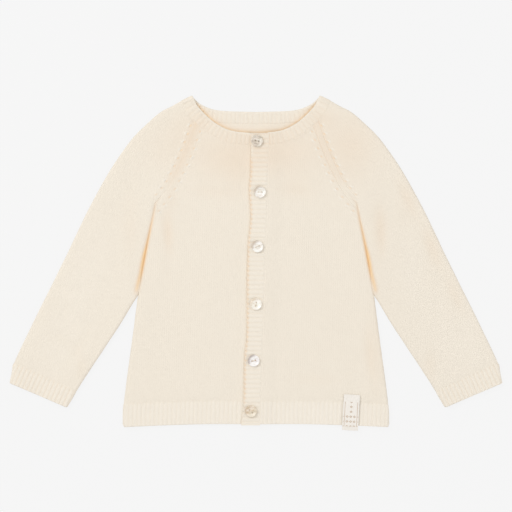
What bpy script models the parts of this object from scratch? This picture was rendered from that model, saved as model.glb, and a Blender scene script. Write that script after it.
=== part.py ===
"""A baby's knitted raglan cardigan, buttoned up and laid flat on its back.

A maker would knit and sew on these pieces: a back, two fronts, two sleeves, a neckband, two front bands, six
shell buttons and a folded label. The hem and cuff ribs are knitted in one with their panels.

Metres, +Z up, the surface that the cardigan lies on at z = 0. In the tables of plan points, x is the distance
from the centre front and y the height above the hem line. A side of +1 is the wearer's left, at +X, and -1 the
wearer's right. The upper layer is the fronts and the tops of the sleeves, the lower one the rest.
"""

import math

import bmesh
import bpy
from mathutils import Matrix, Vector

# ---------------------------------------------------------------- cloth and layers
WALL = 0.0018  # thickness of the knitted cloth
SEAM_GAP = 0.0003  # between two pieces at a seam
EDGE_LIFT = 0.0038  # underside of the upper layer beside a fold, where the cloth stands up
MID_LIFT = 0.0026  # underside of the upper layer away from the folds
LIFT_REACH = 0.030  # from a fold to where the cloth has settled
HEIGHT = EDGE_LIFT + WALL  # of a folded edge
FOLD_RADIUS = HEIGHT / 2
INNER_RADIUS = FOLD_RADIUS - WALL
SEAM_DIP = 0.00025  # how far the cloth's face dips at a flat seam

# ---------------------------------------------------------------- ribs, knit one and purl one
RIB_PITCH = 0.0046
RIB_RISE = 0.0005
HEM_RIB = 0.023
CUFF_RIB = 0.019
RIB_FADE = 0.0025  # over which ribs run out into the plain cloth
RIB_MARGIN = 0.0025  # kept plain beside a band

# ---------------------------------------------------------------- body
UNDERARM_Y = 0.2343
CENTRE_Y = 0.2220  # at the centre front, of the row that starts at the underarm
BODY_SIDE = (
    # height, half_width
    (0.0000, 0.1399),
    (0.0240, 0.1389),
    (0.0900, 0.1300),
    (0.1620, 0.1201),
    (UNDERARM_Y, 0.1062),
)
HEM_LINE = (  # the hem hangs a little lower at the side seams
    # x, rise
    (0.0000, 0.0000),
    (0.0500, 0.0001),
    (0.0950, -0.0011),
    (0.1399, -0.0030),
)
HEM_SETTLE = 0.045  # height at which the hem's curve has gone

# ---------------------------------------------------------------- neck
NECKBAND = 0.0130
NECK_FRONT = (  # free edge of the neckband in front, from the centre to the shoulder fold
    # x, y
    (0.0000, 0.3080),
    (0.0250, 0.3108),
    (0.0400, 0.3172),
    (0.0510, 0.3255),
    (0.0618, 0.3371),
    (0.0662, 0.3458),
)
NECK_BACK = (  # free edge at the back
    # x, y
    (0.0000, 0.3309),
    (0.0320, 0.3318),
    (0.0468, 0.3340),
    (0.0590, 0.3394),
    (0.0662, 0.3458),
)
NECK_TURN = 0.35  # share of the back edge over which its ribs turn to point straight down

# ---------------------------------------------------------------- raglan seams
RAGLAN_TOP_FRONT = 0.0635  # x where the seam meets the neckband
RAGLAN_FRONT = (
    # x, y
    (0.0695, 0.3020),
    (0.0740, 0.2905),
    (0.0792, 0.2781),
    (0.0865, 0.2630),
    (0.0945, 0.2490),
)
RAGLAN_TOP_BACK = 0.0570
RAGLAN_BACK = (
    # x, y
    (0.0655, 0.3050),
    (0.0735, 0.2880),
    (0.0862, 0.2640),
    (0.0945, 0.2492),
)
ARMPIT_FADE = 0.026  # height over which the underarm folds flatten out into the raglan seams
ROW_TRIM = 0.0002  # that each row stops short of a raglan seam

# ---------------------------------------------------------------- sleeves
SIDE_CLEARANCE = 0.0008  # between a sleeve and the body that it lies beside
SLEEVE_LEAVES_Y = 0.1400  # height at which the sleeve parts from the body
SHOULDER_SHARE = 0.38  # share of the outer fold that lies above the underarm's row
SLEEVE_INNER = (  # underarm fold, from where it leaves the body to the cuff
    # x, y
    (0.1322, 0.1272),
    (0.1477, 0.1018),
    (0.1812, 0.0509),
    (0.2016, 0.0181),
)
SLEEVE_OUTER = (  # shoulder and outer fold, from below the neckband to the cuff
    # x, y
    (0.0894, 0.3368),
    (0.1012, 0.3306),
    (0.1156, 0.3182),
    (0.1324, 0.3010),
    (0.1545, 0.2692),
    (0.1780, 0.2268),
    (0.2034, 0.1738),
    (0.2350, 0.1102),
    (0.2552, 0.0678),
    (0.2582, 0.0572),
    (0.2608, 0.0434),
)

# ---------------------------------------------------------------- front bands
BAND_EDGE = (  # free edge of the upper band, drawn in and out between the buttons
    # height, x
    (0.0000, -0.0157),
    (0.0240, -0.0132),
    (0.0700, -0.0121),
    (0.0960, -0.0098),
    (0.1470, -0.0095),
    (0.1900, -0.0084),
    (0.2200, -0.0058),
    (0.2480, -0.0073),
    (0.2700, -0.0056),
    (0.3080, -0.0050),
)
BAND_SEAM_TOP = 0.0137  # x of its joined edge at the neck
BAND_SEAM_HEM = 0.0040  # and at the hem
UNDER_SEAM_TOP = -0.0020  # x of the lower band's joined edge, hidden under the upper one, at the neck
UNDER_SEAM_HEM = -0.0120  # and at the hem
BAND_TOP_Y = 0.3084
BAND_END_Y = -0.0012
BAND_RIB_PITCH = 0.0050
BAND_PICOT = 0.0004  # each rib ends in a small point on the free edge
BAND_ROUND = 0.0014  # width of the rounded free edge
BAND_PROFILE = (
    # share of the row, x over BAND_ROUND, drop over WALL
    (0.0, 0.0, 0.55),
    (0.1, 0.3, 0.22),
    (0.2, 1.0, 0.00),
)
UNDER_INSET = 0.0010  # the lower band's free edge lies this far inside the upper band's joined one
UNDER_ROWS = 16
OVER_LIFT = MID_LIFT + WALL + SEAM_GAP  # underside of the upper band
OVER_SETTLE = 0.020  # width over which the left front comes down beside it

# ---------------------------------------------------------------- buttons
BUTTON_RADIUS = 0.0063
BUTTON_THICK = 0.0021
BUTTON_PROFILE = (  # a rounded, raised rim round a dished face
    # radius over BUTTON_RADIUS, height over BUTTON_THICK
    (0.00, 0.00),
    (0.84, 0.00),
    (1.00, 0.45),
    (0.97, 0.88),
    (0.89, 1.00),
    (0.79, 0.83),
    (0.65, 0.76),
    (0.00, 0.76),
)
HOLE_RADIUS = 0.0008
HOLE_OFFSET = 0.0018  # of each of the two holes from the middle
BUTTON_SEGMENTS = 20
HOLE_SEGMENTS = 8
BUTTONS = (
    # x, y, turn in degrees
    (0.0011, 0.3000, -14.0),
    (0.0042, 0.2459, 0.0),
    (0.0016, 0.1882, 24.0),
    (0.0000, 0.1272, 80.0),
    (-0.0024, 0.0673, 15.0),
    (-0.0053, 0.0138, -40.0),
)
DARK_BUTTON = 6  # the lowest is cut from a browner shell

# ---------------------------------------------------------------- label
LABEL_WIDTH = 0.0170
LABEL_THICK = 0.0014  # a woven ribbon folded in two
LABEL_TOP = Vector((0.1017, 0.0313))  # middle of its sewn end
LABEL_FOLD = Vector((0.0995, -0.0064))  # middle of its folded end
LABEL_SINK = 0.0010  # how far the folded end hangs below the cloth's face
LABEL_ROWS = 7

# ---------------------------------------------------------------- mesh
CURVE_STEPS = 8  # points on a smooth line for each row of its table
ROW_POINTS = 30
ARC_ANGLES = (60.0, 30.0, 0.0)
BODY_ROWS = 8
CAP_ROWS = 7
SLEEVE_ROWS = (5, 5)  # below and above the place where the sleeve leaves the body
FRONT_COLUMNS = 11
BACK_COLUMNS = 7  # on each half
SLEEVE_COLUMNS = 6
INNER_EVERY = 4  # ribbed rows to one row of a plain face
SMOOTH_ANGLE = 40.0
ARC_SHARE = 0.01  # share of a row between two points of a folded edge
FLAT_SHARES = (0.05, 0.95)  # shares of a row at which its flat middle starts and ends
CAP_SHARE = 0.6  # share of a stack of rows at which its cap begins
NECK_SHARES = (0.20, 0.30)  # shares of the neckband's rows at which its front ends and its back begins
NECK_FOLD_ANGLES = (60.0, 30.0, 0.0, -30.0, -60.0)

# ---------------------------------------------------------------- finishes
# colour, roughness
WOOL = ((0.86, 0.80, 0.69), 0.95)
RIBBED_WOOL = ((0.84, 0.77, 0.66), 0.95)
SHELL = ((0.74, 0.71, 0.65), 0.25)
BROWN_SHELL = ((0.47, 0.36, 0.25), 0.30)
RIBBON = ((0.89, 0.87, 0.82), 0.80)


# ================================================================ lines in plan
def smooth_step(value):
    value = min(max(value, 0.0), 1.0)
    return value * value * (3 - 2 * value)


def shares(count):
    return [k / count for k in range(count + 1)]


def catmull_rom(before, start, end, after, t):
    return 0.5 * (
        2 * start
        + (end - before) * t
        + (2 * before - 5 * start + 4 * end - after) * t * t
        + (3 * start - before - 3 * end + after) * t * t * t
    )


class Path:
    """A line in plan, read by distance along it or by share of its length."""

    def __init__(self, points, smooth=False):
        points = [Vector(point) for point in points]
        if smooth:
            points = self.smoothed(points)
        self.points = points
        self.reach = [0.0]
        for first, second in zip(points, points[1:]):
            self.reach.append(self.reach[-1] + (second - first).length)
        self.length = self.reach[-1]

    @staticmethod
    def smoothed(points):
        ends = [2 * points[0] - points[1]] + points + [2 * points[-1] - points[-2]]
        line = []
        for four in zip(ends, ends[1:], ends[2:], ends[3:]):
            line += [catmull_rom(*four, step / CURVE_STEPS) for step in range(CURVE_STEPS)]
        return line + [points[-1]]

    def at(self, distance):
        distance = min(max(distance, 0.0), self.length)
        k = 1
        while self.reach[k] < distance:
            k += 1
        part = (distance - self.reach[k - 1]) / (self.reach[k] - self.reach[k - 1])
        return self.points[k - 1].lerp(self.points[k], part)

    def share(self, share):
        return self.at(share * self.length)

    def right(self, distance):
        """Unit vector to the right of the line."""
        step = 0.0005
        ahead = self.at(distance + step) - self.at(distance - step)
        return Vector((ahead.y, -ahead.x)).normalized()

    def distance_where(self, axis, value):
        """Distance along the line at which a coordinate that grows or falls all the way reaches a value."""
        for k in range(1, len(self.points)):
            low, high = self.points[k - 1][axis], self.points[k][axis]
            if min(low, high) <= value <= max(low, high):
                part = (value - low) / (high - low)
                return self.reach[k - 1] + part * (self.reach[k] - self.reach[k - 1])
        raise ValueError(f"the line doesn't reach {value}")

    def part(self, start, end):
        inside = [p for p, reach in zip(self.points, self.reach) if start + 1e-5 < reach < end - 1e-5]
        return Path([self.at(start)] + inside + [self.at(end)])

    def gap_to(self, point):
        nearest = math.inf
        for first, second in zip(self.points, self.points[1:]):
            run = second - first
            part = min(max((point - first).dot(run) / run.length_squared, 0.0), 1.0)
            nearest = min(nearest, (first + part * run - point).length)
        return nearest


def curve_of(table):
    """A function from the first column of a table to its second, smooth between the rows."""
    line = Path(table, smooth=True)

    def value(x):
        x = min(max(x, line.points[0].x), line.points[-1].x)
        return line.at(line.distance_where(0, x)).y

    return value


body_half_width = curve_of(BODY_SIDE)
hem_line = curve_of(HEM_LINE)
band_edge = curve_of(BAND_EDGE)


def band_seam(y):
    return BAND_SEAM_HEM + (BAND_SEAM_TOP - BAND_SEAM_HEM) * y / BAND_TOP_Y


def under_seam(y):
    return UNDER_SEAM_HEM + (UNDER_SEAM_TOP - UNDER_SEAM_HEM) * y / BAND_TOP_Y


# ---------------------------------------------------------------- the neck
front_edge = Path(NECK_FRONT, smooth=True)
back_edge = Path(NECK_BACK, smooth=True)
neck_point = front_edge.points[-1]
fold_along = front_edge.right(front_edge.length)  # down the shoulder, away from the neck
fold_out = Vector((-fold_along.y, fold_along.x))  # square to it, out of the garment


def front_across(distance):
    return front_edge.right(distance)


def back_across(distance):
    """Across the neckband at the back: square to its edge, turning to follow the fold at the shoulder."""
    turned = smooth_step(1 - (1 - distance / back_edge.length) / NECK_TURN)
    return back_edge.right(distance).lerp(fold_along, turned).normalized()


def neck_seam(edge, across):
    """The line that the neckband is joined to on one layer, from the centre to the shoulder fold's far side."""
    line = [edge.at(reach) + across(reach) * (NECKBAND + SEAM_GAP) for reach in edge.reach]
    return Path(line + [line[-1] + fold_out * FOLD_RADIUS])


front_seam = neck_seam(front_edge, front_across)
back_seam = neck_seam(back_edge, back_across)
neck_corner = front_seam.points[-1]

# ---------------------------------------------------------------- seams and folds of one side
underarm = Vector((BODY_SIDE[-1][1], UNDERARM_Y))
body_side = Path([Vector((body_half_width(UNDERARM_Y * s), UNDERARM_Y * s)) for s in shares(24)])


def raglan(table, seam, top_x):
    top = seam.at(seam.distance_where(0, top_x))
    return Path([underarm] + list(reversed(table)) + [top], smooth=True)


raglan_front = raglan(RAGLAN_FRONT, front_seam, RAGLAN_TOP_FRONT)
raglan_back = raglan(RAGLAN_BACK, back_seam, RAGLAN_TOP_BACK)
outer_fold = Path([neck_corner] + list(SLEEVE_OUTER), smooth=True)


def sleeve_inner_fold():
    """From the underarm down beside the body, then free of it to the cuff."""
    beside = [p + Vector((SIDE_CLEARANCE, 0)) for p in reversed(body_side.points) if p.y > SLEEVE_LEAVES_Y]
    free = Path([beside[-1]] + list(SLEEVE_INNER), smooth=True)
    return Path(beside + free.points[1:])


inner_fold = sleeve_inner_fold()
neck_fold = Path([neck_point + fold_out * FOLD_RADIUS, neck_corner])
FOLDS = (neck_fold, outer_fold, inner_fold, body_side)


# ================================================================ heights
def lift(point):
    """Underside of the upper layer: high beside the folds, low between them."""
    away = min(fold.gap_to(point) for fold in FOLDS) - FOLD_RADIUS
    return EDGE_LIFT - (EDGE_LIFT - MID_LIFT) * smooth_step(away / LIFT_REACH)


def left_front_lift(point):
    """As lift, and raised beside the upper band, which lies on the lower one."""
    off = point.x - band_seam(point.y)
    return lift(point) + (OVER_LIFT - MID_LIFT) * (1 - smooth_step(off / OVER_SETTLE))


def lower_lift(point):
    """The lower layer is flat. It is drawn as an upper one and turned over."""
    return EDGE_LIFT


FRONT_LIFTS = {1: left_front_lift, -1: lift}


def front_start(side, y):
    """Distance from the centre at which a front and the neckband start, on their own side."""
    if side > 0:
        return band_seam(y) + SEAM_GAP
    return SEAM_GAP - under_seam(y)


# ================================================================ rows
def row_between(start, end, like=None, bend=0.0):
    """A row in plan, bent by a share towards the shape of another line."""
    points = []
    for share in shares(ROW_POINTS):
        point = start.lerp(end, share)
        if like:
            point += bend * (like.share(share) - like.points[0].lerp(like.points[-1], share))
        points.append(point)
    return Path(points)


def arc_point(row, extreme, inward, angle, curl, cut, height):
    """Outer and inner point of a folded edge, at an angle up its arc from its extreme.

    A curl of 1 is a round fold and 0 a flat seam. A cut edge stops half a seam gap above the fold's middle.
    """
    angle = math.radians(angle)
    run = FOLD_RADIUS * (1 - math.cos(angle))
    inner_run = curl * (FOLD_RADIUS - INNER_RADIUS * math.cos(angle)) + (1 - curl) * run
    middle = FOLD_RADIUS + (SEAM_GAP / 2 if cut else 0.0)
    bottom = height(row.at(extreme + inward * run))
    top = bottom + WALL
    round_top = middle + (top - middle) * math.sin(angle)
    round_bottom = middle + (bottom - middle) * math.sin(angle)
    flat_top = top - SEAM_DIP * (1 - math.sin(angle))
    outer = Vector((*row.at(extreme + inward * run), curl * round_top + (1 - curl) * flat_top))
    inner = Vector((*row.at(extreme + inward * inner_run), curl * round_bottom + (1 - curl) * bottom))
    return outer, inner


def section(row, columns, height, start_curl=None, end_curl=1.0, end_cut=True):
    """Outer and inner points of the upper layer along a row, as two lists of (share, point).

    An end whose curl is None is square, as beside a band.
    """
    start = 0.0 if start_curl is None else FOLD_RADIUS
    end = row.length - FOLD_RADIUS
    pairs = []
    if start_curl is not None:
        for k, angle in enumerate(reversed(ARC_ANGLES)):
            pairs.append((ARC_SHARE * k, arc_point(row, 0.0, 1, angle, start_curl, True, height)))
    flat_start, flat_end = FLAT_SHARES
    for share in shares(columns):
        plan = row.at(start + (end - start) * share)
        bottom = height(plan)
        faces = (Vector((*plan, bottom + WALL)), Vector((*plan, bottom)))
        pairs.append((flat_start + (flat_end - flat_start) * share, faces))
    for k, angle in enumerate(reversed(ARC_ANGLES)):
        pairs.append((1 - ARC_SHARE * k, arc_point(row, row.length, -1, angle, end_curl, end_cut, height)))
    pairs.sort(key=lambda pair: pair[0])
    return [(s, outer) for s, (outer, _) in pairs], [(s, inner) for s, (_, inner) in pairs]


def turned_over(row):
    """The same row on the lower layer."""
    return [(share, Vector((p.x, p.y, HEIGHT - p.z))) for share, p in row]


def row_length(row):
    return sum((second - first).length for (_, first), (_, second) in zip(row, row[1:]))


def ribbed(row, start, end):
    """A row of (share, point) with a hollow and a crest for each rib between two distances along it."""
    reach = [0.0]
    for (_, first), (_, second) in zip(row, row[1:]):
        reach.append(reach[-1] + (second - first).length)
    kept = [(share, p) for d, (share, p) in zip(reach, row) if d < start - 1e-5 or d > end + 1e-5]
    steps = 2 * round((end - start) / RIB_PITCH)
    for k in range(steps + 1):
        where = start + (end - start) * k / steps
        after = next(i for i in range(1, len(reach)) if where <= reach[i] + 1e-9)
        part = (where - reach[after - 1]) / (reach[after] - reach[after - 1])
        share = row[after - 1][0] + part * (row[after][0] - row[after - 1][0])
        point = row[after - 1][1].lerp(row[after][1], part)
        kept.append((share, point + Vector((0, 0, RIB_RISE * (k % 2)))))
    return sorted(kept, key=lambda entry: entry[0])


# ================================================================ solids
def strip(bm, first, second):
    """Faces between two lines of (share, vertex), which may hold different numbers of points."""
    i = j = 0
    while i < len(first) - 1 or j < len(second) - 1:
        next_i = first[i + 1][0] if i < len(first) - 1 else math.inf
        next_j = second[j + 1][0] if j < len(second) - 1 else math.inf
        if abs(next_i - next_j) < 1e-6:
            bm.faces.new((first[i][1], first[i + 1][1], second[j + 1][1], second[j][1]))
            i += 1
            j += 1
        elif next_i < next_j:
            bm.faces.new((first[i][1], first[i + 1][1], second[j][1]))
            i += 1
        else:
            bm.faces.new((first[i][1], second[j + 1][1], second[j][1]))
            j += 1


def wall(name, outer, inner, finish, side=1):
    """One closed solid between two stacks of rows. A row is (share, [(share, point), ...])."""
    bm = bmesh.new()
    stacks = []
    for stack in (outer, inner):
        rows = []
        for share, row in stack:
            rows.append((share, [(s, bm.verts.new((p.x * side, p.y, p.z))) for s, p in row]))
        for (_, first), (_, second) in zip(rows, rows[1:]):
            strip(bm, first, second)
        stacks.append(rows)
    for end in (0, -1):
        strip(bm, *[rows[end][1] for rows in stacks])
        strip(bm, *[[(share, row[end][1]) for share, row in rows] for rows in stacks])
    return object_of(name, mesh_of(name, bm), finish)


def mesh_of(name, bm):
    bmesh.ops.recalc_face_normals(bm, faces=bm.faces)
    if bm.calc_volume(signed=True) < 0:
        bmesh.ops.reverse_faces(bm, faces=bm.faces)
    mesh = bpy.data.meshes.new(name)
    bm.to_mesh(mesh)
    bm.free()
    mesh.shade_smooth()
    mesh.set_sharp_from_angle(angle=math.radians(SMOOTH_ANGLE))
    return mesh


def object_of(name, mesh, finish):
    obj = bpy.data.objects.new(name, mesh)
    bpy.context.scene.collection.objects.link(obj)
    obj.data.materials.clear()
    obj.data.materials.append(material_of(name, finish))
    return obj


def material_of(name, finish):
    colour, roughness = finish
    material = bpy.data.materials.new(name)
    material.use_nodes = True
    shader = material.node_tree.nodes["Principled BSDF"]
    shader.inputs["Base Color"].default_value = (*colour, 1.0)
    shader.inputs["Roughness"].default_value = roughness
    shader.inputs["Metallic"].default_value = 0.0
    return material


def remove_all_objects():
    for obj in list(bpy.data.objects):
        bpy.data.objects.remove(obj, do_unlink=True)


# ================================================================ panels
def raglan_curl(seam, share):
    return 1 - smooth_step((seam.share(share).y - UNDERARM_Y) / ARMPIT_FADE)


def panel_rows(start_x, seam, neck, columns, height):
    """Stacks of rows of a front, or of half a back, from the hem up to the neckband.

    start_x(y) is its edge at the centre, seam its raglan seam and neck the stretch that joins the neckband.
    """
    fade_y = HEM_RIB + RIB_FADE
    levels = [0.0, HEM_RIB] + [fade_y + (UNDERARM_Y - fade_y) * share for share in shares(BODY_ROWS)]
    outer, inner = [], []
    for level in levels:
        share = level / UNDERARM_Y
        start = Vector((start_x(CENTRE_Y * share), CENTRE_Y * share))
        row = row_between(start, Vector((body_half_width(level), level)))
        settled = smooth_step(level / HEM_SETTLE)
        row = Path([p + Vector((0, hem_line(p.x) * (1 - settled))) for p in row.points])
        faces = section(row, columns, height)
        outer.append((share * CAP_SHARE, faces[0]))
        inner.append((share * CAP_SHARE, faces[1]))
    for share in shares(CAP_ROWS)[1:]:
        y = CENTRE_Y + (neck.points[0].y - CENTRE_Y) * share
        row = row_between(Vector((start_x(y), y)), seam.share(share), neck, share**2)
        row = row.part(0.0, row.length - ROW_TRIM)
        faces = section(row, columns, height, end_curl=raglan_curl(seam, share))
        outer.append((CAP_SHARE + (1 - CAP_SHARE) * share, faces[0]))
        inner.append((CAP_SHARE + (1 - CAP_SHARE) * share, faces[1]))
    return outer, inner


def add_front(name, side):
    first = front_start(side, front_seam.points[0].y)
    neck = front_seam.part(front_seam.distance_where(0, first), front_seam.distance_where(0, RAGLAN_TOP_FRONT))
    outer, inner = panel_rows(lambda y: front_start(side, y), raglan_front, neck, FRONT_COLUMNS, FRONT_LIFTS[side])
    for k in (0, 1):
        share, row = outer[k]
        outer[k] = (share, ribbed(row, RIB_MARGIN, row_length(row) - FOLD_RADIUS * math.pi / 2))
    del inner[1]
    wall(name, outer, inner, WOOL, side)


def add_back():
    neck = back_seam.part(0.0, back_seam.distance_where(0, RAGLAN_TOP_BACK))
    stacks = []
    for half in panel_rows(lambda y: 0.0, raglan_back, neck, BACK_COLUMNS, lower_lift):
        rows = []
        for share, row in half:
            row = turned_over(row)
            mirrored = [(0.5 - 0.5 * s, Vector((-p.x, p.y, p.z))) for s, p in reversed(row[1:])]
            middle = [(0.5, row[0][1])]
            rows.append((share, mirrored + middle + [(0.5 + 0.5 * s, p) for s, p in row[1:]]))
        del rows[1]
        stacks.append(rows)
    wall("back", *stacks, WOOL)


# ================================================================ sleeves
def sleeve_lines():
    """For each row from the cuff to the neckband: share, underarm edges above and below, fold, bend, curls."""
    split = outer_fold.length * SHOULDER_SHARE
    fade = (CUFF_RIB + RIB_FADE) / inner_fold.length
    leaves = 1 - inner_fold.distance_where(1, SLEEVE_LEAVES_Y) / inner_fold.length
    stations = [0.0, CUFF_RIB / inner_fold.length]
    stations += [fade + (leaves - fade) * s for s in shares(SLEEVE_ROWS[0])]
    stations += [leaves + (1 - leaves) * s for s in shares(SLEEVE_ROWS[1])[1:]]
    for share in stations:
        edge = inner_fold.share(1 - share)
        fold = outer_fold.at(outer_fold.length - (outer_fold.length - split) * share)
        yield share * CAP_SHARE, edge, edge, fold, 0.0, 1.0, 1.0
    for share in shares(CAP_ROWS)[1:]:
        yield (
            CAP_SHARE + (1 - CAP_SHARE) * share,
            raglan_front.share(share),
            raglan_back.share(share),
            outer_fold.at(split * (1 - share)),
            share**2,
            raglan_curl(raglan_front, share),
            raglan_curl(raglan_back, share),
        )


def sleeve_layer(edge, fold, like, bend, curl, height):
    row = row_between(edge, fold, like, bend)
    if bend > 0:
        row = row.part(ROW_TRIM, row.length)
    return section(row, SLEEVE_COLUMNS, height, curl, 1.0, end_cut=False)


def add_sleeve(name, side):
    """A sheet from the underarm seam over the top of the arm, round the outer fold and back below."""
    front_neck = front_seam.part(front_seam.distance_where(0, RAGLAN_TOP_FRONT), front_seam.length)
    back_neck = back_seam.part(back_seam.distance_where(0, RAGLAN_TOP_BACK), back_seam.length)
    outer, inner = [], []
    for share, above, below, fold, bend, curl_above, curl_below in sleeve_lines():
        upper = sleeve_layer(above, fold, front_neck, bend, curl_above, lift)
        lower = sleeve_layer(below, fold, back_neck, bend, curl_below, lower_lift)
        for stack, top, bottom in zip((outer, inner), upper, lower):
            over = [(0.5 * s, p) for s, p in top]
            under = [(1 - 0.5 * s, p) for s, p in reversed(turned_over(bottom)[:-1])]
            stack.append((share, over + under))
    arc = FOLD_RADIUS * math.pi / 2
    for k in (0, 1):
        share, row = outer[k]
        top_length = row_length([(s, p) for s, p in row if s <= 0.5])
        outer[k] = (share, ribbed(row, arc, top_length - arc))
    del inner[1]
    wall(name, outer, inner, WOOL, side)


# ================================================================ neckband
def neckband_half(side):
    """Rows across the neckband from its front band over the shoulder to the centre back, as (share, outer, inner).

    One of the two is None where the other face alone has a row, for its ribs.
    """
    front_ends, back_begins = NECK_SHARES
    height = FRONT_LIFTS[side]
    start = front_edge.distance_where(0, front_start(side, front_edge.points[0].y))
    steps = 2 * round((front_edge.length - start) / RIB_PITCH)
    for k in range(steps + 1):
        distance = start + (front_edge.length - start) * k / steps
        ends = [front_edge.at(distance), front_edge.at(distance) + front_across(distance) * NECKBAND]
        rise = RIB_RISE * (k % 2) if 1 < k < steps - 1 else 0.0
        outer = [Vector((*p, height(p) + WALL + rise)) for p in ends]
        inner = [Vector((*p, height(p))) for p in ends]
        yield front_ends * k / steps, outer, inner if k % INNER_EVERY == 0 or k == steps else None
    ends = [neck_point, neck_point + fold_along * NECKBAND]
    for k, angle in enumerate(NECK_FOLD_ANGLES, start=1):
        faces = []
        for radius in (FOLD_RADIUS, INNER_RADIUS):
            out = radius * math.cos(math.radians(angle))
            z = FOLD_RADIUS + radius * math.sin(math.radians(angle))
            faces.append([Vector((*(p + fold_out * out), z)) for p in ends])
        yield front_ends + ARC_SHARE * k, *faces
    steps = 2 * round(back_edge.length / RIB_PITCH)
    for k in range(steps + 1):
        distance = back_edge.length * (1 - k / steps)
        ends = [back_edge.at(distance), back_edge.at(distance) + back_across(distance) * NECKBAND]
        rise = RIB_RISE * (k % 2) if k > 1 else 0.0
        outer = [Vector((*p, 0.0)) for p in ends]
        inner = [Vector((*p, WALL + rise)) for p in ends]
        share = back_begins + (0.5 - back_begins) * k / steps
        yield share, outer if k % INNER_EVERY == 0 or k == steps else None, inner


def add_neckband():
    stacks = ([], [])
    left = list(neckband_half(1))
    right = [
        (1 - share, *[face and [Vector((-p.x, p.y, p.z)) for p in face] for face in faces])
        for share, *faces in neckband_half(-1)
    ]
    for share, *faces in left + right[-2::-1]:
        for stack, face in zip(stacks, faces):
            if face:
                stack.append((share, list(zip((0.0, 1.0), face))))
    wall("neckband", *stacks, RIBBED_WOOL)


# ================================================================ front bands
def add_upper_band():
    """Its ribs run across it, and each ends in a small point on the free edge."""
    steps = 2 * round((BAND_TOP_Y - BAND_END_Y) / BAND_RIB_PITCH)
    outer, inner = [], []
    for k, share in enumerate(shares(steps)):
        y = BAND_END_Y + (BAND_TOP_Y - BAND_END_Y) * share
        crest = k % 2
        edge = band_edge(y) - BAND_PICOT * crest
        top = OVER_LIFT + WALL + RIB_RISE * crest
        row = [(s, Vector((edge + x * BAND_ROUND, y, top - drop * WALL))) for s, x, drop in BAND_PROFILE]
        outer.append((share, row + [(1.0, Vector((band_seam(y), y, top)))]))
        if k % INNER_EVERY == 0 or k == steps:
            start = Vector((band_edge(y) + BAND_ROUND / 3, y, OVER_LIFT))
            inner.append((share, [(0.0, start), (1.0, Vector((band_seam(y), y, OVER_LIFT)))]))
    wall("band_left", outer, inner, RIBBED_WOOL)


def add_lower_band():
    """Hidden under the upper one, and plain."""
    outer, inner = [], []
    for share in shares(UNDER_ROWS):
        y = BAND_END_Y + (BAND_TOP_Y - BAND_END_Y) * share
        ends = (under_seam(y), band_seam(y) - UNDER_INSET)
        for stack, z in ((outer, MID_LIFT + WALL), (inner, MID_LIFT)):
            stack.append((share, [(s, Vector((x, y, z))) for s, x in enumerate(ends)]))
    wall("band_right", outer, inner, RIBBED_WOOL)


# ================================================================ buttons
def turned_mesh(name, profile, segments):
    """A closed solid turned about Z from a profile of (radius, z) that starts and ends on the axis."""
    bm = bmesh.new()
    line = [bm.verts.new((radius, 0.0, z)) for radius, z in profile]
    edges = [bm.edges.new(pair) for pair in zip(line, line[1:])]
    bmesh.ops.spin(bm, geom=line + edges, cent=(0, 0, 0), axis=(0, 0, 1), angle=2 * math.pi, steps=segments)
    bmesh.ops.remove_doubles(bm, verts=bm.verts, dist=1e-6)
    return mesh_of(name, bm)


def button_mesh():
    """A shell disc with a raised rim, a dished face and two holes."""
    profile = [(radius * BUTTON_RADIUS, height * BUTTON_THICK) for radius, height in BUTTON_PROFILE]
    disc = bpy.data.objects.new("button_disc", turned_mesh("button_disc", profile, BUTTON_SEGMENTS))
    bm = bmesh.new()
    for offset in (-HOLE_OFFSET, HOLE_OFFSET):
        bmesh.ops.create_cone(
            bm,
            cap_ends=True,
            segments=HOLE_SEGMENTS,
            radius1=HOLE_RADIUS,
            radius2=HOLE_RADIUS,
            depth=BUTTON_THICK * 3,
            matrix=Matrix.Translation((offset, 0, BUTTON_THICK / 2)),
        )
    drill = bpy.data.objects.new("button_drill", mesh_of("button_drill", bm))
    for helper in (disc, drill):
        bpy.context.scene.collection.objects.link(helper)
    holes = disc.modifiers.new("holes", "BOOLEAN")
    holes.operation = "DIFFERENCE"
    holes.object = drill
    evaluated = disc.evaluated_get(bpy.context.evaluated_depsgraph_get())
    mesh = bpy.data.meshes.new_from_object(evaluated)
    mesh.set_sharp_from_angle(angle=math.radians(SMOOTH_ANGLE))
    for helper in (disc, drill):
        bpy.data.objects.remove(helper, do_unlink=True)
    return mesh


def add_buttons():
    mesh = button_mesh()
    rest = OVER_LIFT + WALL + RIB_RISE + SEAM_GAP
    for number, (x, y, turn) in enumerate(BUTTONS, start=1):
        finish = BROWN_SHELL if number == DARK_BUTTON else SHELL
        button = object_of(f"button_{number}", mesh.copy(), finish)
        button.location = (x, y, rest)
        button.rotation_euler.z = math.radians(turn)


# ================================================================ label
def add_label():
    """A folded ribbon, sewn on at its top, that lies over the hem's ribs and hangs just past the edge."""
    along = LABEL_FOLD - LABEL_TOP
    across = Vector((-along.y, along.x)).normalized() * LABEL_WIDTH / 2
    rest = left_front_lift(LABEL_TOP) + WALL + RIB_RISE + SEAM_GAP
    outer, inner = [], []
    for share in shares(LABEL_ROWS):
        middle = LABEL_TOP + along * share
        sunk = LABEL_SINK * smooth_step(-middle.y / abs(LABEL_FOLD.y))
        thin = LABEL_THICK * 0.2 if share == 1 else 0.0
        for stack, z in ((outer, rest + LABEL_THICK - sunk - thin), (inner, rest - sunk + thin)):
            ends = [(0.0, middle - across), (0.5, middle), (1.0, middle + across)]
            stack.append((share, [(s, Vector((*p, z))) for s, p in ends]))
    wall("label", outer, inner, RIBBON)


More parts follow.
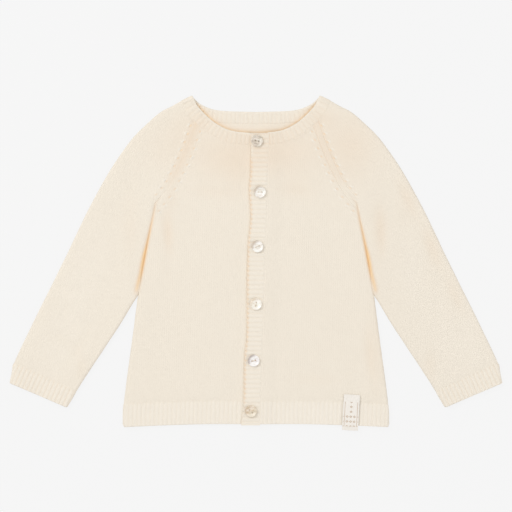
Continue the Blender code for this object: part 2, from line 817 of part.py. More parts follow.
# ================================================================ the cardigan
def stand_on_origin():
    """Moves every piece so that the middle of the whole underside lies on the origin."""
    bpy.context.view_layer.update()
    corners = [obj.matrix_world @ Vector(corner) for obj in bpy.data.objects for corner in obj.bound_box]
    for axis in (0, 1):
        values = [corner[axis] for corner in corners]
        middle = (min(values) + max(values)) / 2
        for obj in bpy.data.objects:
            obj.location[axis] -= middle


def main():
    remove_all_objects()
    add_back()
    add_front("front_right", -1)
    add_front("front_left", 1)
    add_sleeve("sleeve_right", -1)
    add_sleeve("sleeve_left", 1)
    add_neckband()
    add_lower_band()
    add_upper_band()
    add_buttons()
    add_label()
    stand_on_origin()


main()
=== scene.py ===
"""The looks of a baby's knitted raglan cardigan, buttoned up and laid flat on its back.

Every knitted piece is a closed shell on the form of its plain CAD solid. Its stitches' columns (wales), ribs,
rolled edges, raglan lines and soft creases are real relief. The single stitches are bump.

Metres, +Z up. Plan points are (x, y), x from the centre front and y from the hem line. A side of +1 is the
wearer's left, at +X. The upper layer is the fronts and the tops of the sleeves. The lower one is the rest,
which is drawn as an upper layer and turned over.
"""

import math
from dataclasses import dataclass
from typing import Callable

import bpy
import numpy as np
from mathutils import Matrix, Vector
from mathutils.geometry import delaunay_2d_cdt


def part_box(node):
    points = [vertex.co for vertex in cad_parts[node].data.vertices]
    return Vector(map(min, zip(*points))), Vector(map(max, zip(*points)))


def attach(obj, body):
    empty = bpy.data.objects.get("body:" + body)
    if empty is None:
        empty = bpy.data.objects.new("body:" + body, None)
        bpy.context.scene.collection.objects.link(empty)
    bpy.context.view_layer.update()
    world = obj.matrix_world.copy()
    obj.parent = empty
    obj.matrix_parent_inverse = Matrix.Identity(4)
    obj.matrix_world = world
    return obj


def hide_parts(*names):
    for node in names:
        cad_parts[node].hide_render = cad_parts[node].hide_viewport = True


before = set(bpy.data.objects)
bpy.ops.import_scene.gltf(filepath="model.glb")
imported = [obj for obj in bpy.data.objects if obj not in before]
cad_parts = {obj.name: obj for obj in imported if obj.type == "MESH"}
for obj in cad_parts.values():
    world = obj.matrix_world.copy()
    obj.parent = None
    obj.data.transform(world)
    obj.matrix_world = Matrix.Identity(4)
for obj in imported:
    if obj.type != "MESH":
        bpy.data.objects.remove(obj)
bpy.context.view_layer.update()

# ---------------------------------------------------------------- cloth and layers
WALL = 0.0018
EDGE_LIFT = 0.0038  # underside of the upper layer beside a fold
MID_LIFT = 0.0026  # and away from the folds
LIFT_REACH = 0.030
HEIGHT = EDGE_LIFT + WALL
FOLD_RADIUS = HEIGHT / 2
INNER_RADIUS = FOLD_RADIUS - WALL
SEAM_GAP = 0.0003
SLIT = 0.0001  # left of a cut edge's thickness between its two roundings
OVERLAP = 0.00005  # of two pieces at a seam
CREVICE_OVERLAP = (
    # height, and how far the sleeve and the body each reach past their own fold
    (0.0000, 0.0010),
    (0.1300, 0.0012),
    (0.1500, 0.0009),
    (0.1650, 0.0007),
    (0.1800, 0.0007),
    (0.1950, 0.0008),
    (0.2150, 0.0011),
    (0.2343, 0.0012),
)

# ---------------------------------------------------------------- knitting
WALE = 0.0023  # width of a stitch
COURSE = 0.00165  # height of a stitch
RIDGE = 0.00014  # height of a column of stitches over the groove beside it
RIB_RISE = 0.00045
RIB_FADE = 0.0025
RIB_DRAW = 0.00022  # how much the cloth is drawn in where a rib begins
RIB_DRAW_AT = 0.0010  # above the rib's own height
RIB_DRAW_WIDTH = 0.0012
HEM_RIB = 0.023
CUFF_RIB = 0.019
RIB_START = 0.0012  # kept plain beside a band
BLOUSE = 0.0005  # how far the cloth swells above a rib that draws it in
BLOUSE_REACH = 0.011
SCALLOP = 0.6  # share of the ribs' relief by which they reach past a cut edge

# ---------------------------------------------------------------- body, as in the CAD
UNDERARM_Y = 0.2343
BODY_SIDE = (
    # height, half_width
    (0.0000, 0.1399),
    (0.0240, 0.1389),
    (0.0900, 0.1300),
    (0.1620, 0.1201),
    (UNDERARM_Y, 0.1062),
)
HEM_LINE = (
    # x, rise
    (0.0000, 0.0000),
    (0.0500, 0.0001),
    (0.0950, -0.0011),
    (0.1399, -0.0030),
)
NECKBAND = 0.0130
NECK_FRONT = (
    # x, y
    (0.0000, 0.3080),
    (0.0250, 0.3108),
    (0.0400, 0.3172),
    (0.0510, 0.3255),
    (0.0618, 0.3371),
    (0.0662, 0.3458),
)
NECK_BACK = (
    # x, y
    (0.0000, 0.3309),
    (0.0320, 0.3318),
    (0.0468, 0.3340),
    (0.0590, 0.3394),
    (0.0662, 0.3458),
)
NECK_TURN = 0.35  # share of the back's neckline over which its band turns along the shoulder
RAGLAN_TOP_FRONT = 0.0635
RAGLAN_FRONT = (
    # x, y
    (0.0695, 0.3020),
    (0.0740, 0.2905),
    (0.0792, 0.2781),
    (0.0865, 0.2630),
    (0.0945, 0.2490),
)
RAGLAN_TOP_BACK = 0.0570
RAGLAN_BACK = (
    # x, y
    (0.0655, 0.3050),
    (0.0735, 0.2880),
    (0.0862, 0.2640),
    (0.0945, 0.2492),
)
ARMPIT_FADE = 0.026

# ---------------------------------------------------------------- sleeves, as in the CAD
SIDE_CLEARANCE = 0.0008
SLEEVE_LEAVES_Y = 0.1400
SLEEVE_BESIDE = (UNDERARM_Y, 0.2100, 0.1850, 0.1600, 0.1420)  # heights at which it lies along the body
SLEEVE_INNER = (
    # x, y
    (0.1322, 0.1272),
    (0.1477, 0.1018),
    (0.1812, 0.0509),
    (0.2016, 0.0181),
)
SLEEVE_OUTER = (
    # x, y
    (0.0894, 0.3368),
    (0.1012, 0.3306),
    (0.1156, 0.3182),
    (0.1324, 0.3010),
    (0.1545, 0.2692),
    (0.1780, 0.2268),
    (0.2034, 0.1738),
    (0.2350, 0.1102),
    (0.2552, 0.0678),
    (0.2582, 0.0572),
    (0.2608, 0.0434),
)
SLEEVE_TURN = (  # the way its wales run, as degrees from +X towards +Y, by distance from the cuff
    (0.000, 113.1),
    (0.060, 118.5),
    (0.150, 119.5),
    (0.260, 122.0),
    (0.400, 125.0),
)

# ---------------------------------------------------------------- front bands, as in the CAD
BAND_EDGE = (
    # height, x
    (0.0000, -0.0157),
    (0.0240, -0.0132),
    (0.0700, -0.0121),
    (0.0960, -0.0098),
    (0.1470, -0.0095),
    (0.1900, -0.0084),
    (0.2200, -0.0058),
    (0.2480, -0.0073),
    (0.2700, -0.0056),
    (0.3080, -0.0050),
)
BAND_SEAM_TOP = 0.0137
BAND_SEAM_HEM = 0.0040
UNDER_SEAM_TOP = -0.0020
UNDER_SEAM_HEM = -0.0120
BAND_TOP_Y = 0.3084
BAND_END_Y = -0.0012
BAND_LENGTH = BAND_TOP_Y - BAND_END_Y
BAND_RIB_PITCH = 0.0050
UNDER_INSET = 0.0010  # of the lower band from the upper one's seam
OVER_LIFT = MID_LIFT + WALL + SEAM_GAP
OVER_SETTLE = 0.020  # width over which the left front comes down from its band

HEM_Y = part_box("band_left")[0].y - BAND_END_Y  # where the hem line lies in the frame

# ---------------------------------------------------------------- meshes
CURVE_STEPS = 16
TANGENT_STEP = 0.0005
FOLD_CHORD = 0.005  # chords of a fold, where only the distance to it counts
RING_ANGLES = np.radians((0.0, 15.0, 32.0, 50.0, 70.0, 90.0))
BODY_ZONE = 5  # wales that run along a raglan seam on the body
SLEEVE_ZONE = 4  # and on the sleeves
PER_WALE = 4  # points across a wale
SLIM_STEP = 0.00010  # between the rings that other edges have there
LONG_STEP = 0.0012  # between points along an edge that the wales run beside
SHORT_STEP = WALE / PER_WALE  # and along one that they end at
FILL_MARGIN = 0.18  # of a lattice cell's length, left free beside the last ring
INNER_CELL = (2.0, 3.0)  # wales and courses to a cell of a plain inner face
NECK_CELL = (1.0, 1.0)  # and of the back's, which shows in the neck
TOP_CELL = (1 / PER_WALE, 1.0)
UNDER_CELL = (1 / PER_WALE, 2.0)
SMOOTH_ANGLE = math.radians(50.0)
STRAIGHT = 0.25  # sine of two edges' corner, under which they run on into each other
SEAM_ROUNDING = 0.0009


# ================================================================ lines in plan
def smooth_step(value):
    value = np.clip(value, 0.0, 1.0)
    return value * value * (3 - 2 * value)


def near(distance, width):
    return np.exp(-((distance / width) ** 2))


def unit(vectors):
    return vectors / np.linalg.norm(vectors, axis=-1, keepdims=True)


def smoothed(points):
    """A Catmull-Rom curve through the points."""
    ends = np.vstack([2 * points[0] - points[1], points, 2 * points[-1] - points[-2]])
    t = (np.arange(CURVE_STEPS) / CURVE_STEPS)[:, None]
    line = []
    for before, start, end, after in zip(ends, ends[1:], ends[2:], ends[3:]):
        slope = end - before
        bend = 2 * before - 5 * start + 4 * end - after
        twist = 3 * start - before - 3 * end + after
        line.append((2 * start + slope * t + bend * t**2 + twist * t**3) / 2)
    return np.vstack(line + [points[-1:]])


class Line:
    """A line in plan, read by distance along it and running straight on past its ends."""

    def __init__(self, points, smooth=False):
        points = np.array([tuple(point) for point in points], float)
        self.points = smoothed(points) if smooth else points
        steps = np.linalg.norm(np.diff(self.points, axis=0), axis=1)
        self.reach = np.concatenate([[0.0], np.cumsum(steps)])
        self.length = float(self.reach[-1])

    def on(self, distance):
        return np.stack([np.interp(distance, self.reach, axis) for axis in self.points.T], -1)

    def run(self, distance):
        """Unit vectors along it."""
        held = np.clip(distance, 0.0, self.length)
        return unit(self.on(held + TANGENT_STEP) - self.on(held - TANGENT_STEP))

    def left(self, distance):
        run = self.run(distance)
        return np.stack([-run[..., 1], run[..., 0]], -1)

    def at(self, distance):
        distance = np.asarray(distance, float)
        past = distance - np.clip(distance, 0.0, self.length)
        return self.on(distance) + past[..., None] * self.run(distance)

    def distance_at(self, x):
        """Distance at which a line that goes outward all the way reaches an x."""
        return float(np.interp(x, self.points[:, 0], self.reach))

    def part(self, first=None, last=None):
        """The part from one x to another, or to its own ends."""
        start = 0.0 if first is None else self.distance_at(first)
        end = self.length if last is None else self.distance_at(last)
        inside = (self.reach > start + 1e-5) & (self.reach < end - 1e-5)
        return Line([*self.at([start]), *self.points[inside], *self.at([end])])

    def back(self):
        return Line(self.points[::-1])

    def mirrored(self):
        """The same line on the other side, walked the other way."""
        return Line(self.points[::-1] * (-1, 1))

    def spaced(self, step):
        return Line(self.at(np.linspace(0, self.length, max(2, round(self.length / step) + 1))))


def gap_to(places, points, closed=False):
    """Distance of each place from a chain of points."""
    starts, ends = (points, np.roll(points, -1, 0)) if closed else (points[:-1], points[1:])
    nearest = np.full(len(places), np.inf)
    for start, end in zip(starts, ends):
        run = end - start
        off = places - start
        part = np.clip(off @ run / max(run @ run, 1e-18), 0.0, 1.0)
        off = off - part[:, None] * run
        np.minimum(nearest, np.einsum("ij,ij->i", off, off), out=nearest)
    return np.sqrt(nearest)


def inside_of(places, ring):
    """Whether each place lies inside a closed ring of points."""
    x, y = places.T
    inside = np.zeros(len(places), bool)
    for (x0, y0), (x1, y1) in zip(ring, np.roll(ring, -1, 0)):
        if y0 != y1:
            inside ^= ((y0 > y) != (y1 > y)) & (x < (x1 - x0) * (y - y0) / (y1 - y0) + x0)
    return inside


def curve_of(table):
    """A function from the first column of a table to its second, smooth between the rows."""
    first, second = Line(table, smooth=True).points.T
    return lambda value: np.interp(value, first, second)


body_half_width = curve_of(BODY_SIDE)
hem_line = curve_of(HEM_LINE)
band_edge = curve_of(BAND_EDGE)
crevice_overlap = curve_of(CREVICE_OVERLAP)


def straight_seam(hem, top):
    return lambda y: hem + (top - hem) * y / BAND_TOP_Y


band_seam = straight_seam(BAND_SEAM_HEM, BAND_SEAM_TOP)
under_seam = straight_seam(UNDER_SEAM_HEM, UNDER_SEAM_TOP)


def front_start(side, y):
    """Distance from the centre at which a front starts, on its own side."""
    return band_seam(y) + SEAM_GAP if side > 0 else SEAM_GAP - under_seam(y)


# ---------------------------------------------------------------- the neck
front_edge = Line(NECK_FRONT, smooth=True)
back_edge = Line(NECK_BACK, smooth=True)
neck_point = front_edge.points[-1]
fold_along = -front_edge.left(front_edge.length)  # down the shoulder, away from the neck
fold_out = np.array([-fold_along[1], fold_along[0]])  # square to it, out of the garment


def front_across(distance):
    return -front_edge.left(distance)


def back_across(distance):
    turned = smooth_step(1 - (1 - distance / back_edge.length) / NECK_TURN)[..., None]
    return unit(-back_edge.left(distance) * (1 - turned) + fold_along * turned)


def neck_seam(edge, across):
    """The line that the neckband is joined to on a layer, from the centre to the shoulder fold's far side."""
    line = edge.points + across(edge.reach) * (NECKBAND + SEAM_GAP)
    return Line([*line, line[-1] + fold_out * FOLD_RADIUS])


front_seam = neck_seam(front_edge, front_across)
back_seam = neck_seam(back_edge, back_across)
neck_corner = front_seam.points[-1]

# ---------------------------------------------------------------- seams and folds of one side
underarm = (BODY_SIDE[-1][1], UNDERARM_Y)
side_heights = np.linspace(0.0, UNDERARM_Y, 49)
body_side = Line(np.stack([body_half_width(side_heights), side_heights], -1))
hem_x = np.linspace(0.0, BODY_SIDE[0][1], 49)
hem_half = Line(np.stack([hem_x, hem_line(hem_x)], -1))


def raglan(table, seam, top_x):
    return Line([underarm, *reversed(table), seam.at(seam.distance_at(top_x))], smooth=True)


raglan_front = raglan(RAGLAN_FRONT, front_seam, RAGLAN_TOP_FRONT)
raglan_back = raglan(RAGLAN_BACK, back_seam, RAGLAN_TOP_BACK)
outer_fold = Line([neck_corner, *SLEEVE_OUTER], smooth=True)
beside = [(body_half_width(y) + SIDE_CLEARANCE, y) for y in SLEEVE_BESIDE]
inner_fold = Line([*beside, *SLEEVE_INNER], smooth=True)  # from the underarm to the cuff
neck_fold = Line([neck_point + fold_out * FOLD_RADIUS, neck_corner])
FOLDS = [fold.spaced(FOLD_CHORD) for fold in (neck_fold, outer_fold, inner_fold, body_side)]


# ================================================================ heights
CREASES = (
    # from x, y, to x, y, half width, height (a trough's is below 0)
    (-0.0965, 0.2215, -0.0912, 0.1823, 0.0050, -0.00065),
    (-0.1010, 0.1900, -0.1040, 0.1500, 0.0070, 0.00040),
    (-0.2020, 0.1370, -0.1690, 0.1070, 0.0060, 0.00100),
    (-0.1850, 0.1700, -0.1500, 0.1460, 0.0070, 0.00070),
    (-0.1640, 0.2080, -0.1330, 0.2010, 0.0080, 0.00060),
    (-0.2150, 0.0960, -0.1900, 0.0790, 0.0060, -0.00040),
    (-0.1760, 0.1010, -0.2020, 0.0590, 0.0050, -0.00035),
    (-0.0700, 0.2470, -0.0150, 0.2440, 0.0070, -0.00045),
    (0.0200, 0.2500, 0.0620, 0.2450, 0.0070, -0.00040),
    (0.1314, 0.2270, 0.1346, 0.1790, 0.0050, -0.00065),
    (0.1440, 0.2000, 0.1600, 0.1450, 0.0080, 0.00070),
    (0.1500, 0.2580, 0.1720, 0.2160, 0.0050, -0.00060),
    (0.1760, 0.2080, 0.1970, 0.1630, 0.0060, -0.00070),
    (0.2010, 0.1550, 0.2220, 0.1140, 0.0050, -0.00050),
    (0.1150, 0.2850, 0.1350, 0.2450, 0.0080, 0.00055),
    (0.0980, 0.1750, 0.1080, 0.1300, 0.0080, 0.00045),
    (0.1170, 0.1010, 0.1230, 0.0520, 0.0050, -0.00055),
    (0.0420, 0.0500, 0.0860, 0.0460, 0.0060, -0.00030),
    (-0.1000, 0.0450, -0.0500, 0.0480, 0.0060, 0.00030),
    (-0.0600, 0.1350, -0.0380, 0.0900, 0.0120, 0.00035),
    (0.0500, 0.1500, 0.0700, 0.1050, 0.0120, 0.00035),
)
UNDER_CREASES = (
    # as above, but on the underside, which lies on a table and so has only troughs
    (-0.0950, 0.2200, -0.0830, 0.1700, 0.0060, -0.00045),
    (-0.0300, 0.2900, 0.0350, 0.2860, 0.0070, -0.00040),
    (0.0900, 0.2150, 0.0960, 0.1550, 0.0050, -0.00050),
    (-0.0800, 0.1150, -0.0350, 0.0960, 0.0090, -0.00035),
    (0.0250, 0.0900, 0.0800, 0.1050, 0.0080, -0.00040),
    (-0.1460, 0.2420, -0.1760, 0.1850, 0.0060, -0.00045),
    (-0.1650, 0.1350, -0.1990, 0.0900, 0.0070, -0.00035),
    (0.1380, 0.2350, 0.1550, 0.1780, 0.0050, -0.00050),
    (0.1820, 0.1600, 0.1920, 0.1030, 0.0060, -0.00040),
)


def creases(points, side, table=CREASES):
    """How far the soft creases raise or sink the cloth."""
    here = points * (side, 1)
    total = np.zeros(len(points))
    for x0, y0, x1, y1, width, height in table:
        start, run = np.array([x0, y0]), np.array([x1 - x0, y1 - y0])
        part = np.clip((here - start) @ run / (run @ run), 0.0, 1.0)
        off = np.linalg.norm(here - start - part[:, None] * run, axis=1)
        total += height * near(off, width) * (CREASE_ENDS + (1 - CREASE_ENDS) * np.sin(np.pi * part))
    return total


EDGE_SWELL = 0.0006  # of the right front where the upper band's free edge presses on it
EDGE_SWELL_WIDTH = 0.0030
PRESSED = 0.004  # how far past that edge it is held down
PRESSED_FADE = 0.020
PRESSED_X = 0.030  # and only this near the centre
CREASE_ENDS = 0.35  # share of a crease's height at its two ends
FOLD_FADE = 0.010  # beside a fold, where the lower layer's creases and the sleeve's swell set in
DEEPEST = -0.0007  # for a crease, so that the upper layer stays off the lower one


def fold_gap(points):
    """Distance in from the nearest folded edge's flat side."""
    return np.min([gap_to(points, fold.points) for fold in FOLDS], axis=0) - FOLD_RADIUS


def lift(points, side):
    """Underside of the upper layer: high beside the folds, low between them."""
    away = fold_gap(points)
    settled = smooth_step(away / LIFT_REACH)
    soft = smooth_step(away / (LIFT_REACH / 3)) * creases(points, side)
    return EDGE_LIFT - (EDGE_LIFT - MID_LIFT) * settled + np.maximum(soft, DEEPEST)


def front_lift(points, side):
    """As lift. The left front is raised beside the upper band, which lies on the lower one."""
    height = lift(points, side)
    x, y = points.T
    swell = BLOUSE * bump_above(y - hem_line(x), HEM_RIB)
    if side < 0:
        past = x + band_edge(y)
        free = smooth_step((past - PRESSED) / PRESSED_FADE)
        height = height - np.maximum(height - MID_LIFT, 0) * (1 - free) * (x < PRESSED_X)
        return height + swell * free + EDGE_SWELL * near(past, EDGE_SWELL_WIDTH)
    raised = 1 - smooth_step((x - band_seam(y)) / OVER_SETTLE)
    return height * (1 - raised) + OVER_LIFT * raised + swell * (1 - raised)


def bump_above(height, rib):
    """A soft swell just above a rib."""
    off = (height - rib) / BLOUSE_REACH
    return np.where(off > 0, off * np.exp(1 - off), 0.0) * smooth_step(off * 2)


def lower_lift(points, side):
    return EDGE_LIFT + creases(points, side, UNDER_CREASES) * smooth_step(fold_gap(points) / FOLD_FADE)


# ================================================================ knitting
class Knit:
    """The lattice of a piece's stitches: v courses up a line in plan and u wales to its right."""

    def __init__(self, line, turns=0):
        self.line = line
        self.turns = turns

    def place(self, uv):
        along = uv[..., 1] * COURSE
        return self.line.at(along) - self.line.left(along) * uv[..., :1] * WALE

    def read(self, points):
        along = np.zeros(len(points))
        for _ in range(1 + self.turns):
            along = along + np.einsum("ij,ij->i", points - self.line.at(along), self.line.run(along))
        off = np.einsum("ij,ij->i", points - self.line.at(along), -self.line.left(along))
        return np.stack([off / WALE, along / COURSE], -1)


def sleeve_knit():
    """The wales start square to the cuff and turn a little on their way up."""
    reach, turn = np.array(SLEEVE_TURN).T
    step = reach[-1] / 200
    along = np.arange(200) * step
    angle = np.radians(np.interp(along, reach, turn))
    start = (inner_fold.points[-1] + outer_fold.points[-1]) / 2
    steps = np.stack([np.cos(angle), np.sin(angle)], -1) * step
    return Knit(Line(np.vstack([start, start + np.cumsum(steps, 0)])), turns=8)


def front_knit(side):
    return Knit(Line([(front_start(side, y), y) for y in (0.0, BAND_TOP_Y)]))


back_knit = Knit(Line([(0.0, 0.0), (0.0, BAND_TOP_Y)]))


def rib_shape(u):
    """A round knit column and a narrow hollow, from 0 to 1, for each two wales."""
    return np.abs(np.cos(np.pi * (u - 0.5) / 2)) ** 0.8


def knit_relief(u, height, rib, raised):
    """The relief of the plain cloth's wales, and of the ribs up to a height."""
    ribbed = 1 - smooth_step((height - rib) / RIB_FADE)
    ridges = -RIDGE * (0.5 + 0.5 * np.cos(2 * np.pi * u))
    ribs = RIB_RISE * (rib_shape(u) if raised else rib_shape(u) - 1)
    drawn = -RIB_DRAW * near(height - rib - RIB_DRAW_AT, RIB_DRAW_WIDTH)
    return ridges * (1 - ribbed) + ribs * ribbed + drawn


# ---------------------------------------------------------------- raglan seams
MARK_EVERY = 0.0093  # between two decreases along a seam
MARK_FROM_END = 1.4  # wales from the end of the zone along the seam
MARK_LENGTH = 0.0014
MARK_WIDTH = 0.0010
MARK_SLANT = 0.35
MARK_RISE = 0.00060
HOLE_DEPTH = 0.00025
HOLE_OFF = 0.0021  # from the mark, towards the seam
TWIN_GROOVE = 0.00038  # extra depth of the first groove on each side of the left seam


def decreases(wale, along, wales):
    """The raised stitch at each decrease and the small hollow beside it, each from 0 to 1."""
    nearest = ((along / MARK_EVERY) % 1.0 - 0.5) * MARK_EVERY
    across = (wale - wales + MARK_FROM_END) * WALE - nearest * MARK_SLANT
    row = near(nearest, MARK_LENGTH)
    return row * near(across, MARK_WIDTH), row * near(across + HOLE_OFF, MARK_WIDTH)


def zone_relief(wale, along, wales, twin):
    """Wales along a raglan seam, with a raised decrease at each full turn of the pattern."""
    mark, hole = decreases(wale, along, wales)
    ridges = -RIDGE * 1.2 * (0.5 + 0.5 * np.cos(2 * np.pi * wale))
    return ridges - twin * near(wale - 1.0, 0.3) + MARK_RISE * mark - HOLE_DEPTH * hole


def raglan_curl(points):
    return 1 - smooth_step((points[..., 1] - UNDERARM_Y) / ARMPIT_FADE)


# ================================================================ painted shade and painted light
CREVICE_SHADE = (
    # height, amount of painted shadow, half width, and how far out from the body's side it lies
    (0.1300, 0.45, 0.0026, 0.0036),
    (0.1400, 0.55, 0.0028, 0.0034),
    (0.1460, 0.62, 0.0028, 0.0030),
    (0.1520, 0.74, 0.0026, 0.0024),
    (0.1600, 0.82, 0.0025, 0.0014),
    (0.1700, 1.00, 0.0025, 0.0013),
    (0.1800, 1.00, 0.0024, 0.0012),
    (0.1860, 0.86, 0.0022, 0.0009),
    (0.1950, 0.74, 0.0020, 0.0006),
    (0.2080, 0.62, 0.0018, 0.0003),
    (0.2160, 0.50, 0.0017, 0.0000),
    (0.2300, 0.32, 0.0016, 0.0000),
    (0.2420, 0.00, 0.0014, 0.0000),
)
SEAM_SHADE = {1: 0.04, -1: 0.05}  # painted shade along each raglan seam
RAGLAN_STRIP_SHADE = {1: 0.07, -1: 0.15}  # painted shade on a strip beside it
RAGLAN_STRIP = 0.0056
# painted shade in the first groove beside the left seam
TWIN_SHADE = 0.12
HOLLOW_SHADE = 0.09  # painted shade between the neckband's ribs
HEM_CREST_LIGHT = -0.17  # painted light on the ribs' crests at the hem
CUFF_CREST_LIGHT = -0.12  # and painted light on them at the cuffs
# painted shade in the hollows between ribs, at the hem and at the cuffs
HEM_HOLLOW = 0.18
CUFF_HOLLOW = 0.30
# a faint painted shadow where the ribs begin
RIB_SHADE = 0.07
MARK_LIGHT = -0.50  # painted light on the decreases along a raglan seam
HOLE_SHADE = 0.45  # and painted shade in the holes beside them
CREASE_SHADE = 0.08  # painted shade in the deepest creases
EDGE_SHADE = 0.30  # painted shadow on the right front, beside the upper band's free edge
BEAD_SHADE = 0.52  # painted shade on that edge
RAGLAN_START = 0.012  # above the underarm, where the seams' painted shade sets in
RAGLAN_FADE = 0.020
SEAM_LINE = 0.0012  # half width of the painted shade line on a raglan seam or a band's edge
TWIN_AT = 0.0032  # from the left seam
TWIN_LINE = 0.0006
DARK_CREASE = 0.0006  # depth at which a crease's painted shade is darkest
NECK_SHADOWS = (
    # amount, half width: painted shadow inside the back, beside the front neckline
    (0.440, 0.0024),
    (0.176, 0.0070),
)
BAND_LINE_END = 0.276  # height from which the painted shade line on the band's edge fades out
BAND_LINE_START = 0.012  # and up to which it is faint
SHADING_PATCHES = (
    # x, y, half width, half height, amount of painted shade (painted light below 0)
    (-0.0350, 0.2760, 0.0320, 0.0230, 0.10),
    (0.0120, 0.2860, 0.0480, 0.0230, 0.15),
    (-0.0180, 0.2600, 0.0120, 0.0180, 0.05),
    (0.0450, 0.2560, 0.0180, 0.0160, 0.05),
    (0.1000, 0.2920, 0.0250, 0.0360, 0.13),
    (-0.0760, 0.3150, 0.0160, 0.0200, 0.08),
    (-0.0930, 0.2030, 0.0060, 0.0220, 0.10),
    (-0.1330, 0.2050, 0.0090, 0.0300, 0.06),
    (0.1310, 0.2050, 0.0080, 0.0260, 0.11),
    (0.1270, 0.0750, 0.0100, 0.0450, 0.09),
    (0.1600, 0.2380, 0.0100, 0.0260, 0.06),
    (0.1860, 0.1860, 0.0110, 0.0300, 0.07),
    (0.2110, 0.1340, 0.0110, 0.0280, 0.06),
    (-0.1750, 0.1700, 0.0220, 0.0450, -0.05),
    (0.1650, 0.1600, 0.0120, 0.0300, -0.04),
    (0.0000, 0.3000, 0.1150, 0.0300, 0.085),
    (0.0700, 0.3230, 0.0140, 0.0110, 0.12),
    (-0.0570, 0.3200, 0.0100, 0.0090, 0.12),
    (-0.0950, 0.2860, 0.0180, 0.0220, 0.05),
    (-0.2100, 0.0850, 0.0250, 0.0420, -0.07),
    (-0.1900, 0.1400, 0.0200, 0.0450, -0.05),
    (-0.0900, 0.2420, 0.0070, 0.0140, 0.09),
    (-0.1850, 0.0600, 0.0060, 0.0140, 0.08),
    (0.1850, 0.0640, 0.0070, 0.0200, 0.08),
    (0.0700, 0.0100, 0.0450, 0.0120, -0.11),
    (0.2150, 0.0900, 0.0300, 0.0500, -0.08),
    (0.1750, 0.1700, 0.0250, 0.0450, -0.04),
)


def shading_patches(points, side):
    """Broad patches of painted shade on the top, and of painted light where the amount is below 0."""
    total = np.zeros(len(points))
    for x, y, half_width, half_height, amount in SHADING_PATCHES:
        off = (points * (side, 1) - (x, y)) / (half_width, half_height)
        total += amount * np.exp(-np.einsum("ij,ij->i", off, off))
    return total


def warmth(points, side, turned):
    """How much painted shade lies on the top here, in the warm colour of light that has been through wool.
    Below 0 it is painted light, paler.
    """
    y = points[:, 1]
    if turned:
        return crevice(points)
    gap = gap_to(points, RAGLAN.points)
    # painted shade along the raglan seam, on a strip beside it and, on the left, in the groove beside it
    seam = SEAM_SHADE[side] * near(gap, SEAM_LINE) + RAGLAN_STRIP_SHADE[side] * near(gap**2, RAGLAN_STRIP**2)
    if side > 0:
        seam = seam + TWIN_SHADE * near(gap - TWIN_AT, TWIN_LINE)
    total = seam * smooth_step((y - UNDERARM_Y - RAGLAN_START) / RAGLAN_FADE) + crevice(points)
    # painted shade in the deepest creases, and broad patches of painted shade and light
    sunk = np.clip(-creases(points, side) / DARK_CREASE, 0.0, 1.0)
    total = total + shading_patches(points, side) + CREASE_SHADE * sunk
    if side < 0:
        # painted shadow beside the upper band's free edge, beaded like its ribs
        beads = 0.60 + 0.40 * np.cos(2 * np.pi * (y - BAND_END_Y) / BAND_RIB_PITCH)
        edge = near(np.maximum(points[:, 0] + band_edge(y), 0.0), SEAM_LINE) * beads
        total = total + EDGE_SHADE * edge * along_band(y)
    return total


def along_band(y):
    """How much of the painted shade line on the band's edge shows: little at the hem and none at the
    neckband.
    """
    faded = smooth_step((y - BAND_LINE_END) / 0.012)
    return (1 - faded) * (0.1 + 0.9 * smooth_step((y - BAND_LINE_START) / 0.020))


def rib_shading(read, height, rib, crest, hollow):
    """Painted light on ribs' crests, painted shade in their hollows and a faint painted shadow where they
    begin.
    """
    ribbed = 1 - smooth_step((height - rib) / RIB_FADE)
    hollow = hollow * (1 - rib_shape(read[:, 0]))
    return ribbed * (crest + hollow) + RIB_SHADE * near(height - rib - RIB_DRAW_AT, 0.0014)


def neck_shade(points):
    """Painted shadow inside the back, in the shadow of the front neckline."""
    gap = gap_to(np.abs(points * (1, 0)) + points * (0, 1), front_edge.points)
    return sum(amount * near(gap, width) for amount, width in NECK_SHADOWS)


def crevice(points):
    """Painted shadow where the sleeve and the body touch, from the armpit to where they part."""
    y = points[:, 1]
    heights, amount, width, _ = np.array(CREVICE_SHADE).T
    line = near(gap_to(points, CREVICE.points), np.interp(y, heights, width))
    return np.interp(y, heights, amount) * line * smooth_step((y - SLEEVE_LEAVES_Y + 0.006) / 0.010)


# the line along which the painted crevice shadow lies
def crevice_line():
    heights, _, _, out = np.array(CREVICE_SHADE).T
    low = body_side.points[body_side.points[:, 1] > 0.10]
    low = low + np.stack([np.interp(low[:, 1], heights, out), np.zeros(len(low))], -1)
    return Line([*low, *raglan_front.points]).spaced(0.003)


RAGLAN = raglan_front.spaced(0.002)
CREVICE = crevice_line()


# ================================================================ edges and rings
def nowhere(points):
    return np.zeros(points.shape[:-1])


def everywhere(points):
    return np.ones(points.shape[:-1])


